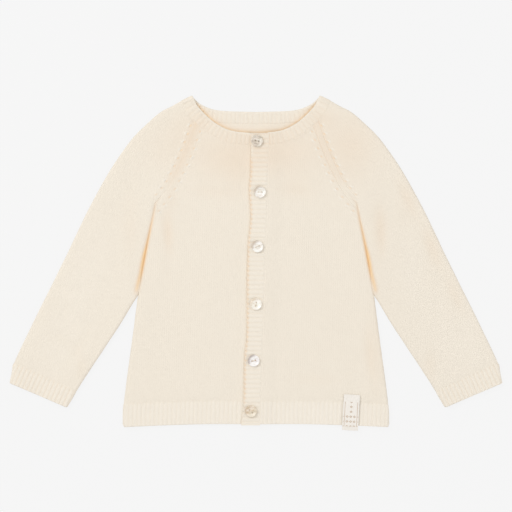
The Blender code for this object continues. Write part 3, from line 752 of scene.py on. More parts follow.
@dataclass
class Edge:
    """A stretch of a layer's outline, walked with the layer on its left."""

    line: Line
    step: float  # between points along it
    curl: Callable = nowhere  # 1 where it is folded round, 0 where it is cut
    rounding: float = WALL / 2  # width of a cut edge's rounding
    drop: float = (WALL - SLIT) / 2  # how far each face of a cut edge comes in
    overlap: float = 0.0  # past a cut edge's line
    fold_overlap: Callable = nowhere  # and past a fold's
    seam: bool = False  # a raglan seam, with wales along it
    joined: bool = False  # a fold that goes on into the lower layer

    def count(self):
        return max(2, round(self.line.length / self.step))

    def bend(self, distance):
        return self.curl(self.line.at(distance))

    def past(self, distance, curl):
        return self.overlap + (self.fold_overlap(self.line.at(distance)) - self.overlap) * curl

    def inset(self, distance, angle, ring, outer):
        """How far in from its line a ring of the outer or the inner face lies."""
        curl = self.bend(distance)
        folded = FOLD_RADIUS - (FOLD_RADIUS if outer else INNER_RADIUS) * math.cos(angle)
        cut = self.rounding * (1 - math.cos(angle))
        step = SHORT_STEP if self.seam else SLIM_STEP
        return curl * folded + (1 - curl) * cut + ring * step - self.past(distance, curl)


def corner(before, after, *ring):
    """The move from the corner of two edges to the point of a ring there."""
    ways = np.array([before.line.left(before.line.length), after.line.left(0.0)])
    insets = np.array([before.inset(before.line.length, *ring), after.inset(0.0, *ring)])
    if abs(np.linalg.det(ways)) < STRAIGHT:
        return unit(ways.sum(0)) * insets.mean()
    return np.linalg.solve(ways, insets)


def ring_of(edges, *ring):
    """A closed ring of plan points, and for each of them the distance along its edge and the way in."""
    moves = [corner(before, after, *ring) for before, after in zip([edges[-1], *edges], edges)]
    parts = []
    for edge, first, last in zip(edges, moves, moves[1:] + moves[:1]):
        line = edge.line
        start = float(first @ line.run(0.0))
        end = line.length + float(last @ line.run(line.length))
        distance = start + (end - start) * (np.arange(edge.count()) / edge.count())
        inward = line.left(distance)
        place = line.at(distance) + inward * edge.inset(distance, *ring)[:, None]
        place[0] = line.at(0.0) + first
        parts.append((place, distance, inward))
    return [np.concatenate(some) for some in zip(*parts)]


class Layer:
    """One layer of a piece: closed rings in from its outline on both faces, then the knit's own lattice."""

    def __init__(self, edges, height, knit, relief, ribs, side, wales, turned=False, twin=0.0):
        self.edges, self.height, self.knit, self.relief, self.ribs = edges, height, knit, relief, ribs
        self.side, self.wales, self.turned, self.twin = side, wales, turned, twin
        self.owner = np.repeat(np.arange(len(edges)), [edge.count() for edge in edges])
        facts = zip(*((edge.seam, edge.joined, edge.drop) for edge in edges))
        self.seams, self.joins, self.drops = (np.array(some)[self.owner] for some in facts)
        self.places, self.warmths, self.faces = [], [], []
        self.total = 0

    # ------------------------------------------------------------ one ring
    def fold_facts(self, places, distances, inward, angle, outer):
        """How far each point's edge is folded, how far the cloth is there, its angle and its way out."""
        own = np.concatenate([edge.bend(distances[self.owner == k]) for k, edge in enumerate(self.edges)])
        cut = own < 1e-6
        curl, turn, out = own.copy(), np.where(cut, np.pi / 2, angle), -inward
        radius = FOLD_RADIUS if outer else INNER_RADIUS
        for k, edge in enumerate(self.edges):
            for step, reach in ((1, edge.line.length), (-1, 0.0)):
                bend = float(edge.bend(reach))
                if bend < 0.5:
                    continue
                off, way = places - edge.line.at(reach), edge.line.left(reach)
                cosine = (FOLD_RADIUS - off @ way - float(edge.past(reach, bend))) / radius
                close = cut & (self.owner == (k + step) % len(self.edges)) & (cosine > 0)
                close &= np.linalg.norm(off, axis=1) < 2 * FOLD_RADIUS
                turn[close] = np.arccos(np.clip(cosine[close], 0.0, 1.0))
                curl[close] = bend
                out[close] = -way
        return own, curl, turn, out

    def shaped(self, places, distances, inward, angle, ring, outer):
        """A ring's points in space and their knit coordinates."""
        own, curl, turn, out = self.fold_facts(places, distances, inward, angle, outer)
        face = self.height(places, self.side) + (WALL if outer else 0.0)
        middle = FOLD_RADIUS + np.where(self.joins, 0.0, SEAM_GAP / 6)
        z = curl * (middle + (face - middle) * np.sin(turn)) + (1 - curl) * face
        normal = unit(np.column_stack([out * (curl * np.cos(turn))[:, None], 1 - curl * (1 - np.sin(turn))]))
        push = self.drops * (1 - own) * (1 - math.sin(angle)) * (-1 if outer else 1)
        unrolled = places + out * (curl * FOLD_RADIUS * (np.pi / 2 - turn - np.cos(turn)))[:, None]
        read = self.knit.read(unrolled)
        if outer:
            arc = curl * FOLD_RADIUS * (np.pi / 2 - turn) + (1 - curl) * SEAM_ROUNDING * math.cos(angle)
            wale = ring / PER_WALE - arc / WALE
            kept = np.where(self.seams, 1.0, own + (1 - own) * math.sin(angle))
            raised = self.raised(places, distances, read, ring, wale, kept)
            read = np.where(self.seams[:, None], np.column_stack([wale, distances / COURSE]), read)
            push = push + raised
            edgewise = np.maximum(raised, 0) * SCALLOP * math.cos(angle) * (own < 0.5)
            places = places - inward * edgewise[:, None]
        return np.column_stack([places, z]) + normal * push[:, None], read

    def raised(self, places, distances, read, ring, wale, kept):
        """The outer face's relief, with a raglan seam's own wales beside it."""
        share = np.where(self.seams, 1 - smooth_step(ring / PER_WALE - self.wales + 1), 0.0)
        zone = zone_relief(wale, distances, self.wales, self.twin)
        relief = self.relief(places, read) * (1 - share) + zone * share
        relief = np.minimum(relief, 0.0) if self.turned else relief
        return np.where(relief < 0, relief * kept, relief)

    # ------------------------------------------------------------ the faces
    def add(self, points, warm):
        first = self.total
        self.places.append(points)
        self.warmths.append(warm)
        self.total += len(points)
        return np.arange(first, self.total)

    def face(self, faces, uv, inner=False):
        order = -1 if inner else 1
        self.faces.append((faces[:, ::order], uv[:, ::order], int(inner)))

    def ahead(self, read):
        """Knit coordinates of each ring point's next one, as the stretch of outline before it has them."""
        following = np.roll(read, -1, 0)
        last = np.flatnonzero(self.seams != np.roll(self.seams, -1))
        following[last] = 2 * read[last] - read[last - 1]
        return following

    def square_uv(self, outside, inside):
        return np.stack([outside, self.ahead(outside), self.ahead(inside), inside], 1)

    # the painted shade and light of a face's points; inside the back, only the painted shadow of the neckline
    def shading_for(self, points, read, outer):
        if outer:
            return warmth(points, self.side, self.turned) + self.ribs(points, read)
        return neck_shade(points) if self.turned else np.zeros(len(points))

    def build_face(self, steps, cell, outer):
        """Rings and lattice of a face. Gives its first ring's numbers and knit coordinates."""
        made = []
        for angle, ring in steps:
            flat, distances, inward = ring_of(self.edges, angle, ring, outer)
            points, read = self.shaped(flat, distances, inward, angle, ring, outer)
            warm = self.shading_for(flat, self.knit.read(flat), outer)
            if ring:
                mark, hole = decreases(ring / PER_WALE, distances, self.wales)
                # painted light on the raised decreases and painted shade in the holes beside them
                warm = warm + np.where(self.seams, HOLE_SHADE * hole + MARK_LIGHT * mark, 0.0)
            made.append((self.add(points, warm), read))
        for (numbers, read), (after, read_after) in zip(made, made[1:]):
            self.face(between(numbers, after), self.square_uv(read, read_after), not outer)
        lattice, faces = fill(flat, self.knit, cell)
        read = self.knit.read(lattice)
        z = self.height(lattice, self.side)
        if outer:
            raised = self.relief(lattice, read)
            z = z + WALL + (np.minimum(raised, 0.0) if self.turned else raised)
        added = self.add(np.column_stack([lattice, z]), self.shading_for(lattice, read, outer))
        numbers = np.concatenate([made[-1][0], added])
        read = np.vstack([self.knit.read(flat), read])
        for some in faces:
            self.face(numbers[some], read[some], not outer)
        return made[0]

    def build(self, cell, inner_cell):
        levels = [(angle, 0) for angle in RING_ANGLES]
        zone = [(np.pi / 2, ring) for ring in range(1, self.wales * PER_WALE + 1)]
        outer_rim, outer_read = self.build_face(levels + zone, cell, True)
        inner_rim, inner_read = self.build_face(levels, inner_cell, False)
        cut = ~self.joins
        self.face(between(inner_rim, outer_rim)[cut], self.square_uv(inner_read, outer_read)[cut])
        mine = np.flatnonzero(self.joins)
        along = np.append(mine, mine[-1:] + 1)  # with the corner that ends the joined fold
        self.joint = outer_rim[along], inner_rim[along]
        self.points = np.vstack(self.places) * (self.side, 1, 1)
        if self.turned:
            self.points[:, 2] = HEIGHT - self.points[:, 2]
        self.warm = np.concatenate(self.warmths)
        return self


def between(outside, inside):
    """Squares between two closed rings of the same number of points."""
    return np.stack([outside, np.roll(outside, -1), np.roll(inside, -1), inside], 1)


def chained(ring):
    return np.stack([ring, np.roll(ring, -1)], 1)


def corners(grid):
    """The values at the four corners of each cell, in order round it."""
    return grid[:-1, :-1], grid[1:, :-1], grid[1:, 1:], grid[:-1, 1:]


def fill(ring, knit, cell):
    """The lattice's points inside a ring and the faces that fill it. The ring's points are numbered first."""
    read = knit.read(ring) / cell
    low, high = np.floor(read.min(0)), np.ceil(read.max(0))
    grid = np.meshgrid(*(np.arange(low[k], high[k] + 1) * cell[k] for k in (0, 1)), indexing="ij")
    places = knit.place(np.stack(grid, -1))
    kept = inside_of(places.reshape(-1, 2), ring).reshape(places.shape[:2])
    kept[kept] = gap_to(places[kept], ring, closed=True) > FILL_MARGIN * cell[1] * COURSE
    cells = np.logical_and.reduce(corners(kept))
    used = np.logical_or.reduce(corners(np.pad(cells, 1)))
    number = np.full(kept.shape, -1)
    number[used] = len(ring) + np.arange(used.sum())
    squares = np.stack(corners(number), -1)[cells]
    return places[used], (squares, margin_faces(ring, places[used], number, cells))


def margin_faces(ring, lattice, number, cells):
    """Triangles between the ring and the squares of the lattice."""
    padded = np.pad(cells, 1)
    lengthwise = padded[1:-1, 1:] != padded[1:-1, :-1]
    crosswise = padded[1:, 1:-1] != padded[:-1, 1:-1]
    first = np.concatenate([number[:-1][lengthwise], number[:, :-1][crosswise]])
    second = np.concatenate([number[1:][lengthwise], number[:, 1:][crosswise]])
    edges = np.stack([first, second], 1)
    chosen = np.concatenate([np.arange(len(ring)), np.unique(edges)])
    bounds = np.vstack([chained(np.arange(len(ring))), np.searchsorted(chosen, edges)])
    return chosen[filled(np.vstack([ring, lattice])[chosen], bounds, len(ring))]


def filled(places, bounds, ring_size):
    """Triangles inside a ring and outside other ones. The bounds are pairs of places, the ring's first."""
    points = [Vector(place) for place in places * 1000]
    made = delaunay_2d_cdt(points, bounds.tolist(), [], 0, 1e-6)
    source = np.array([origin[0] if origin else -1 for origin in made[3]])
    if source.min() < 0:
        raise ValueError("an outline's rings cross themselves")
    faces = source[np.array(made[2])]
    return faces[reached(faces, bounds, ring_size)]


def reached(faces, bounds, ring_size):
    """Which faces join the ring on its left without crossing a bound."""
    size = faces.max() + 1
    starts, ends = faces.ravel(), np.roll(faces, -1, 1).ravel()
    owner = np.repeat(np.arange(len(faces)), 3)
    directed = starts * size + ends
    order = np.argsort(directed)
    back = ends * size + starts
    found = order[np.clip(np.searchsorted(directed[order], back), 0, len(order) - 1)]
    walls = bounds @ (size, 1)
    paired = (directed[found] == back) & ~np.isin(directed, walls) & ~np.isin(back, walls)
    first, second = owner[paired], owner[found[paired]]
    inside = np.zeros(len(faces), bool)
    inside[owner[np.isin(directed, walls[:ring_size])]] = True
    while True:
        fresh = inside[first] & ~inside[second]
        if not fresh.any():
            return inside
        inside[second[fresh]] = True


# ================================================================ meshes
def placed(name, data):
    obj = bpy.data.objects.new(name, data)
    bpy.context.scene.collection.objects.link(obj)
    return obj


def mesh_of(name, points, faces, materials, slots=None, sharp=True):
    mesh = bpy.data.meshes.new(name)
    mesh.from_pydata(points, [], faces)
    for material in materials:
        mesh.materials.append(material)
    if slots is not None:
        mesh.polygons.foreach_set("material_index", slots)
    mesh.shade_smooth()
    if sharp:
        mesh.set_sharp_from_angle(angle=SMOOTH_ANGLE)
    return mesh


def tag(mesh, name, values):
    """Gives each point a number that a material reads."""
    mesh.attributes.new(name, "FLOAT", "POINT").data.foreach_set("value", np.ascontiguousarray(values))


def knit_object(name, points, faces, uv, materials, slots, warm):
    """An object of faces given as arrays of point numbers, with knit coordinates for each face's corners."""
    listed = [row for some in faces for row in some.tolist()]
    slots = np.repeat(slots, [len(some) for some in faces]).astype(np.int32)
    mesh = mesh_of(name, (points + (0, HEM_Y, 0)).tolist(), listed, materials, slots)
    read = np.concatenate([some.reshape(-1, 2) for some in uv])
    mesh.uv_layers.new(name="knit").data.foreach_set("uv", read.ravel())
    # each point's painted shade, and below 0 its painted light, which the wool's colour takes
    tag(mesh, "warm", warm)
    mesh.validate()
    return placed(name, mesh)


def piece_of(name, layers):
    """One closed shell of its layers, joined along the fold that they share."""
    offsets = np.cumsum([0] + [len(layer.points) for layer in layers])
    merged = np.arange(offsets[-1])
    if len(layers) == 2:
        for first, second in zip(layers[0].joint, layers[1].joint):
            merged[second + offsets[1]] = first
    faces, uv, slots = [], [], []
    for layer, offset in zip(layers, offsets):
        order = -1 if (layer.side < 0) != layer.turned else 1
        for some, read, slot in layer.faces:
            faces.append(merged[some[:, ::order] + offset])
            uv.append(read[:, ::order])
            slots.append(slot)
    points = np.vstack([layer.points for layer in layers])
    warm = np.concatenate([layer.warm for layer in layers])
    used = np.isin(np.arange(len(points)), np.concatenate([some.ravel() for some in faces]))
    fresh = np.cumsum(used) - 1
    faces = [fresh[some] for some in faces]
    return knit_object(name, points[used], faces, uv, [WOOL, WRONG_SIDE], slots, warm[used])


def bar_faces(rows, around):
    """The squares round a closed bar of rings, and its two ends."""
    numbers = np.arange(rows * around).reshape(rows, around)
    ahead = np.roll(numbers, -1, 1)
    squares = np.stack([numbers[:-1], numbers[1:], ahead[1:], ahead[:-1]], -1).reshape(-1, 4)
    return [squares, numbers[:1], numbers[-1:, ::-1]]


def strip_of(name, sections, reads, material, warm):
    """A closed bar through sections, an array of rings of points."""
    faces = bar_faces(*sections.shape[:2])
    uv = [reads.reshape(-1, 2)[some] for some in faces]
    return knit_object(name, sections.reshape(-1, 3), faces, uv, [material], [0, 0, 0], warm.ravel())


# ================================================================ materials
CREAM = (0.882, 0.810, 0.702)
# painted shade in the hollows between the wool's strands; a thread is darker in random patches along its
# twist in it too
GROOVE_SHADE_AND_TWIST = (0.830, 0.725, 0.585)
# painted shade, warm like light that has been through wool
WARM_SHADE = (0.830, 0.595, 0.400)
DEEP_SHADE = (0.940, 0.600, 0.250)  # painted shade of the deepest places
# painted light
PAINTED_LIGHT = (1.000, 0.960, 0.900)
DULL_WOOL = (0.82, 0.72, 0.60)  # of broad, faint clouds
LIGHT_WOOL = (0.93, 0.88, 0.79)  # of small ones
SHEEN = (1.0, 0.95, 0.88, 1.0)
TAPE_DARK = (0.865, 0.815, 0.750)
TAPE_LIGHT = (0.930, 0.885, 0.825)
TAPE_TAN = (0.47, 0.31, 0.17)
WARP = 0.42  # pitch of the tape's threads, in millimetres like the rest of its figure
WEFT = 0.38
BORDER_AT = 6.6  # from the middle
LOWER_FROM = 20.8  # from the top, where three columns of diamonds take the place of one
COLUMNS = 3.8  # between those
DIAMOND = 5.2  # length of each
FIGURE_WIDTH = 5.7  # half of it
PINK_PEARL = (0.86, 0.70, 0.66)
GREEN_PEARL = (0.66, 0.76, 0.68)
STITCH_RISE = 0.00030  # of the strands' bump
FUZZ_RISE = 0.35  # share of that by which the fuzz rises
TURN = 2 * math.pi


def operation(name):
    return lambda value, *others: value.math(name, *others)


class Value:
    """A number or colour in a node tree. Arithmetic with it adds nodes."""

    __add__ = operation("ADD")
    __sub__ = operation("SUBTRACT")
    __mul__ = operation("MULTIPLY")
    __truediv__ = operation("DIVIDE")
    __mod__ = operation("MODULO")
    __pow__ = operation("POWER")
    __gt__ = operation("GREATER_THAN")
    __abs__ = operation("ABSOLUTE")
    fraction = operation("FRACT")
    sine = operation("SINE")
    largest = operation("MAXIMUM")

    def __init__(self, nodes, socket):
        self.nodes, self.socket = nodes, socket

    def math(self, name, *others):
        return self.nodes.add("ShaderNodeMath", (self, *others), operation=name)

    def clamped(self):
        self.socket.node.use_clamp = True
        return self

    def remap(self, low, high, to_low=0.0, to_high=1.0):
        return self.nodes.add("ShaderNodeMapRange", (self, low, high, to_low, to_high))

    def mix(self, first, second):
        """The first colour where this is 0, and the second where it is 1."""
        first, second = (some if isinstance(some, Value) else (*some, 1.0) for some in (first, second))
        sockets = {0: self, 6: first, 7: second}
        return self.nodes.add("ShaderNodeMix", sockets, output=2, data_type="RGBA")

    def bump(self, depth, strength):
        return self.nodes.add("ShaderNodeBump", {"Height": self, "Distance": depth, "Strength": strength})


class Nodes:
    """A short way to write node trees."""

    def __init__(self, name):
        self.material = bpy.data.materials.new(name)
        self.material.use_nodes = True
        self.tree = self.material.node_tree
        self.shader = self.tree.nodes["Principled BSDF"]

    def add(self, kind, inputs=(), output=0, **settings):
        """A new node with its inputs, by place or by name. Gives one of its outputs."""
        node = self.tree.nodes.new(kind)
        for key, value in settings.items():
            setattr(node, key, value)
        for key, value in inputs.items() if isinstance(inputs, dict) else enumerate(inputs):
            self.set(node.inputs[key], value)
        return Value(self, node.outputs[output])

    def set(self, socket, value):
        if isinstance(value, Value):
            self.tree.links.new(value.socket, socket)
        else:
            socket.default_value = value

    def noise(self, scale, detail=3.0, rough=0.5, place=None, seed=0.0):
        place = place or self.add("ShaderNodeTexCoord", output="Object")
        inputs = {"Vector": place, "W": seed, "Scale": scale, "Detail": detail, "Roughness": rough}
        return self.add("ShaderNodeTexNoise", inputs, "Fac", noise_dimensions="4D")

    def tagged(self, name):
        return self.add("ShaderNodeAttribute", output="Fac", attribute_name=name)

    def knit(self):
        """The wales across and the courses along, or on the label the millimetres."""
        read = self.add("ShaderNodeUVMap", uv_map="knit")
        return [self.add("ShaderNodeSeparateXYZ", (read,), axis) for axis in (0, 1)]

    def surface(self, **inputs):
        """Sets the shader's own sockets, named with _ for a space, and gives the material."""
        for name, value in inputs.items():
            self.set(self.shader.inputs[name.replace("_", " ")], value)
        return self.material


def plain_stitch(nodes):
    """Height of the right side: two slanted strands to each stitch, in a V."""
    u, v = nodes.knit()
    wobble = nodes.noise(260.0, 1.0).remap(0.3, 0.7, -0.10, 0.10)
    off = abs(u.fraction() - 0.5) * 2.0
    strand = ((v + wobble - off * 0.85).fraction() * math.pi).sine()
    return strand**0.7 * ((off * math.pi).sine() * 0.55 + 0.45)


def purl_stitch(nodes):
    """Height of the wrong side: rows of short loops, every second one set off by half."""
    u, v = nodes.knit()
    return ((v + (u * TURN).sine() * 0.22).fraction() * math.pi).sine() ** 0.8


def wool(name, stitch):
    """Soft combed wool: round strands with painted shade in the groove between them, fine loose fibres and a
    bloom. Its colour takes painted shade and painted light from the mesh's points.
    """
    nodes = Nodes(name)
    height = stitch(nodes)
    fuzz = nodes.noise(2600.0, 4.0, 0.62)
    # painted shade above 0 and painted light below 0, carried by the mesh's points
    warm = nodes.tagged("warm")
    # painted shade in the hollows between strands, stronger where painted shade lies
    groove_shade = height.remap(0.05, 0.60, 1.0, 0.0) * warm.remap(0.06, 0.22, 0.22, 0.42)
    colour = groove_shade.mix(CREAM, GROOVE_SHADE_AND_TWIST)
    colour = nodes.noise(34.0, 2.0, seed=1.7).remap(0.35, 0.65, 0.0, 0.05).mix(colour, DULL_WOOL)
    colour = nodes.noise(420.0, 2.0, seed=4.1).remap(0.3, 0.7, 0.0, 0.10).mix(colour, LIGHT_WOOL)
    # painted warm shade, deeper in the deepest places
    colour = warm.remap(0.0, 0.3, 0.0, 0.3).mix(colour, WARM_SHADE)
    colour = warm.remap(0.3, 1.0, 0.0, 0.75).mix(colour, DEEP_SHADE)
    return nodes.surface(
        # painted light where the painted shading is below 0
        Base_Color=warm.remap(0.0, -1.0).mix(colour, PAINTED_LIGHT),
        Roughness=fuzz.remap(0.3, 0.7, 0.82, 0.98),
        Normal=(height + fuzz * FUZZ_RISE).bump(STITCH_RISE, 0.75),
        Specular_IOR_Level=0.25,
        Sheen_Weight=0.12,
        Sheen_Roughness=0.5,
        Sheen_Tint=SHEEN,
    )


def ribbon():
    """A woven tape with thin tan border lines, a column of small diamonds and below it three."""
    nodes = Nodes("ribbon")
    u, v = nodes.knit()
    across = abs(u)
    weave = (u * (TURN / WARP)).sine() * (v * (TURN / WEFT)).sine()
    border = abs(across - BORDER_AT).remap(0.16, 0.34, 1.0, 0.0)
    lower = v > LOWER_FROM
    aside = abs((across + COLUMNS / 2) % COLUMNS - COLUMNS / 2) * lower
    aside = aside + across * (lower * -1.0 + 1.0) + (across > FIGURE_WIDTH)
    diamond = aside * 0.42 + abs((v / DIAMOND).fraction() - 0.5) * 2.6
    inside = (diamond.remap(0.62, 0.72, 1.0, 0.0) - diamond.remap(0.22, 0.32, 1.0, 0.0)).clamped()
    figure = (inside.largest(border) * (v.remap(7.6, 8.0) * v.remap(34.0, 33.6))).clamped()
    white = weave.remap(-0.5, 0.5).mix(TAPE_DARK, TAPE_LIGHT)
    return nodes.surface(
        Base_Color=(figure * weave.remap(-0.6, 0.2, 0.55, 0.9)).mix(white, TAPE_TAN),
        Roughness=weave.remap(-1.0, 1.0, 0.72, 0.55),
        Normal=weave.bump(0.00006, 0.7),
    )


def shell(name, dark, middle, light, shade_colour, shade_strength, seed):
    """Mother of pearl: wavy layers with a faint play of colour under a polish, with painted shade on the
    upper left and a painted highlight on the lower right.
    """
    nodes = Nodes(name)
    place = nodes.add("ShaderNodeTexCoord", output="Object")
    turned = {0: place, "Rotation": (0.5, 0.3, seed), "Scale": (1.0, 2.6, 1.0)}
    place = nodes.add("ShaderNodeMapping", turned)
    fine = nodes.noise(900.0, 2.0, 0.5, place, seed + 3.0)
    tint = nodes.noise(230.0, 1.0, 0.5, place, seed + 7.0)
    # painted shade above 0 on the upper left, painted highlight below 0 on the lower right
    shade = nodes.tagged("shade")
    layers = fine * 0.25 + nodes.noise(170.0, 3.0, 0.55, place, seed) * 0.85
    colour = layers.remap(0.38, 0.52).mix(dark, middle)
    colour = layers.remap(0.52, 0.64).mix(colour, light)
    colour = tint.remap(0.5, 0.62, 0.0, 0.18).mix(colour, PINK_PEARL)
    colour = tint.remap(0.44, 0.36, 0.0, 0.15).mix(colour, GREEN_PEARL)
    # painted shade on the upper left
    colour = shade.remap(0.15, 0.85, 0.0, shade_strength).mix(colour, shade_colour)
    return nodes.surface(
        # painted highlight on the lower right, in the lightest shell colour
        Base_Color=shade.remap(-0.1, -0.9, 0.0, 0.45).mix(colour, light),
        Roughness=fine.remap(0.3, 0.7, 0.16, 0.34),
        Normal=layers.bump(0.00018, 0.5),
        Specular_IOR_Level=0.7,
        Coat_Weight=0.6,
        Coat_Roughness=0.08,
    )


def thread(name, colour):
    nodes = Nodes(name)
    twist = nodes.noise(3000.0, 2.0)
    return nodes.surface(
        Base_Color=twist.remap(0.3, 0.7, 0.0, 0.5).mix(colour, GROOVE_SHADE_AND_TWIST),
        Roughness=twist.remap(0.3, 0.7, 0.6, 0.85),
        Normal=twist.bump(0.0001, 0.6),
    )


WOOL = wool("wool", plain_stitch)
WRONG_SIDE = wool("wool_wrong_side", purl_stitch)
RIBBED = wool("ribbed_wool", plain_stitch)


# ================================================================ panels
SEAM_DROP = {1: 0.00012, -1: 0.00025}  # of a raglan seam's edges: the right one is sunk, the left lies flat
TWINS = {1: TWIN_GROOVE, -1: 0.0}
FLAT_DROP = 0.00012  # of other seams' edges
FLAT_OVERLAP = 0.0002
SIDES = {1: "left", -1: "right"}


def body_relief(side, upper):
    def relief(points, read):
        x, y = points.T
        value = knit_relief(read[:, 0], y - hem_line(np.abs(x)), HEM_RIB, upper)
        if not upper:
            return value
        off = x - front_start(side, y) if side > 0 else x + band_edge(y) - SEAM_GAP
        return np.where(value > 0, value * smooth_step(off / RIB_START), value)

    return relief


def body_rib_shading(points, read):
    return rib_shading(read, points[:, 1] - hem_line(np.abs(points[:, 0])), HEM_RIB, HEM_CREST_LIGHT, HEM_HOLLOW)


def past_fold(points):
    return crevice_overlap(points[..., 1])


def raglan_edge(line, drop):
    """The seam starts at the underarm."""
    return Edge(line, SHORT_STEP, raglan_curl, drop=drop, overlap=OVERLAP, fold_overlap=past_fold, seam=True)


def flat_seam(line, step=SHORT_STEP):
    return Edge(line, step, drop=FLAT_DROP, rounding=SEAM_ROUNDING, overlap=FLAT_OVERLAP)


def beside_crevice(line):
    return Edge(line, LONG_STEP, everywhere, fold_overlap=past_fold)


def front(side):
    neck = front_seam.part(front_start(side, front_seam.points[0][1]), RAGLAN_TOP_FRONT)
    hem = hem_half.part(front_start(side, 0.0))
    edges = [
        Edge(hem, SHORT_STEP),
        beside_crevice(body_side),
        raglan_edge(raglan_front, SEAM_DROP[side]),
        flat_seam(neck.back()),
        flat_seam(Line([neck.points[0], hem.points[0]]), LONG_STEP),
    ]
    relief = body_relief(side, True)
    layer = Layer(edges, front_lift, front_knit(side), relief, body_rib_shading, side, BODY_ZONE, twin=TWINS[side])
    return piece_of(f"knit_front_{SIDES[side]}", [layer.build(TOP_CELL, INNER_CELL)]), plan_area(edges)


def back():
    neck = back_seam.part(last=RAGLAN_TOP_BACK)
    hem = Line([*hem_half.mirrored().points, *hem_half.points[1:]])
    top = Line([*neck.back().points, *neck.mirrored().back().points[1:]])
    edges = [
        Edge(hem, SHORT_STEP),
        beside_crevice(body_side),
        raglan_edge(raglan_back, SEAM_DROP[1]),
        flat_seam(top),
        raglan_edge(raglan_back.mirrored(), SEAM_DROP[-1]),
        beside_crevice(body_side.mirrored()),
    ]
    relief = body_relief(1, False)
    layer = Layer(edges, lower_lift, back_knit, relief, body_rib_shading, 1, BODY_ZONE, turned=True)
    return piece_of("knit_back", [layer.build(UNDER_CELL, NECK_CELL)]), plan_area(edges)


def plan_area(edges):
    """Area of a layer's cut: its plan and what goes round its folds."""
    x, y = ring_of(edges, 0.0, 0, True)[0].T
    plan = abs(np.dot(x, np.roll(y, -1)) - np.dot(y, np.roll(x, -1))) / 2
    folded = sum(edge.line.length for edge in edges if edge.curl is everywhere)
    return plan + folded * FOLD_RADIUS * (np.pi / 2 - 1)


# ================================================================ sleeves
SLEEVE_KNIT = sleeve_knit()


def sleeve_height(points, side):
    swell = bump_above(SLEEVE_KNIT.read(points)[:, 1] * COURSE, CUFF_RIB)
    return lift(points, side) + BLOUSE * swell * smooth_step(fold_gap(points) / FOLD_FADE)


def sleeve_relief(raised):
    return lambda points, read: knit_relief(read[:, 0], read[:, 1] * COURSE, CUFF_RIB, raised)


def sleeve_rib_shading(points, read):
    return rib_shading(read, read[:, 1] * COURSE, CUFF_RIB, CUFF_CREST_LIGHT, CUFF_HOLLOW)


def sleeve(side):
    """A sheet from the underarm seam over the top of the arm, round the outer fold and back below."""
    cuff = Line([inner_fold.points[-1], outer_fold.points[-1]])
    layers, area = [], 0.0
    for seam, neck, top_x, height, raised, cell in (
        (raglan_front, front_seam, RAGLAN_TOP_FRONT, sleeve_height, True, TOP_CELL),
        (raglan_back, back_seam, RAGLAN_TOP_BACK, lower_lift, False, UNDER_CELL),
    ):
        edges = [
            Edge(cuff, SHORT_STEP),
            Edge(outer_fold.back(), LONG_STEP, everywhere, joined=True),
            flat_seam(neck.part(top_x).back()),
            raglan_edge(seam.back(), SEAM_DROP[side]),
            beside_crevice(inner_fold),
        ]
        twin = TWINS[side] if raised else 0.0
        relief = sleeve_relief(raised)
        layer = Layer(edges, height, SLEEVE_KNIT, relief, sleeve_rib_shading, side, SLEEVE_ZONE, not raised, twin)
        layers.append(layer.build(cell, INNER_CELL))
        area += plan_area(edges)
    return piece_of(f"knit_sleeve_{SIDES[side]}", layers), area


# ================================================================ neckband
BAND_ACROSS = 14  # points across a face of the neckband or a front band
ROUND_ANGLES = np.radians((-90, -60, -30, 0, 30, 60, 90))
PER_RIB = 8
NECK_TUCK = 0.0016  # how far the neckband runs in under a front band's edge
NECK_TUCK_DROP = 0.0004
BIND_OFF = 0.00020  # how far the last row of stitches swells
BIND_WIDTH = 0.0011
EDGE_PLAIN = 0.0012  # width beside an edge over which the ribs set in
SEAM_PLAIN = 0.0010  # and beside a seam
ROUND_RADIUS = (FOLD_RADIUS + INNER_RADIUS) / 2  # of a fold's middle


def band_section(width):
    """A flat bar's section: across it, off its middle, and whether on its outer or its inner face."""
    radius = WALL / 2
    around = [(radius * (1 - math.cos(a)), radius * math.sin(a), a > 0.1, a < -0.1) for a in ROUND_ANGLES]
    outer = [(a, radius, 1, 0) for a in np.linspace(radius, width - SEAM_ROUNDING, BAND_ACROSS)[1:]]
    for share, drop in ((0.7, 0.25), (1.0, 1.0)):
        outer.append((width - SEAM_ROUNDING * (1 - share), radius - FLAT_DROP * drop, 1, 0))
    inner = [(a, -off, 0, 1) for a, off, _, _ in reversed(outer)]
    return np.array(around + outer + inner[:-1], float).T


def neck_frames(side):
    """From the front band to the centre back: edge, way across, turn round the fold and distance."""
    start = front_edge.distance_at(front_start(side, front_edge.points[0][1]))
    arc = math.pi * ROUND_RADIUS
    total = front_edge.length - start + arc + back_edge.length
    ribs = round(total / (2 * WALE))
    rows = []
    for distance in np.concatenate([[-NECK_TUCK], np.arange(ribs * PER_RIB + 1) * total / (ribs * PER_RIB)]):
        along = start + distance
        past = along - front_edge.length
        if past <= 0:
            rows.append((front_edge.at(along), front_across(along), 0.0, distance))
        elif past <= arc:
            rows.append((neck_point, fold_along, math.pi * past / arc, distance))
        else:
            along = back_edge.length - (past - arc)
            rows.append((back_edge.at(along), back_across(along), math.pi, distance))
    return rows, total / ribs


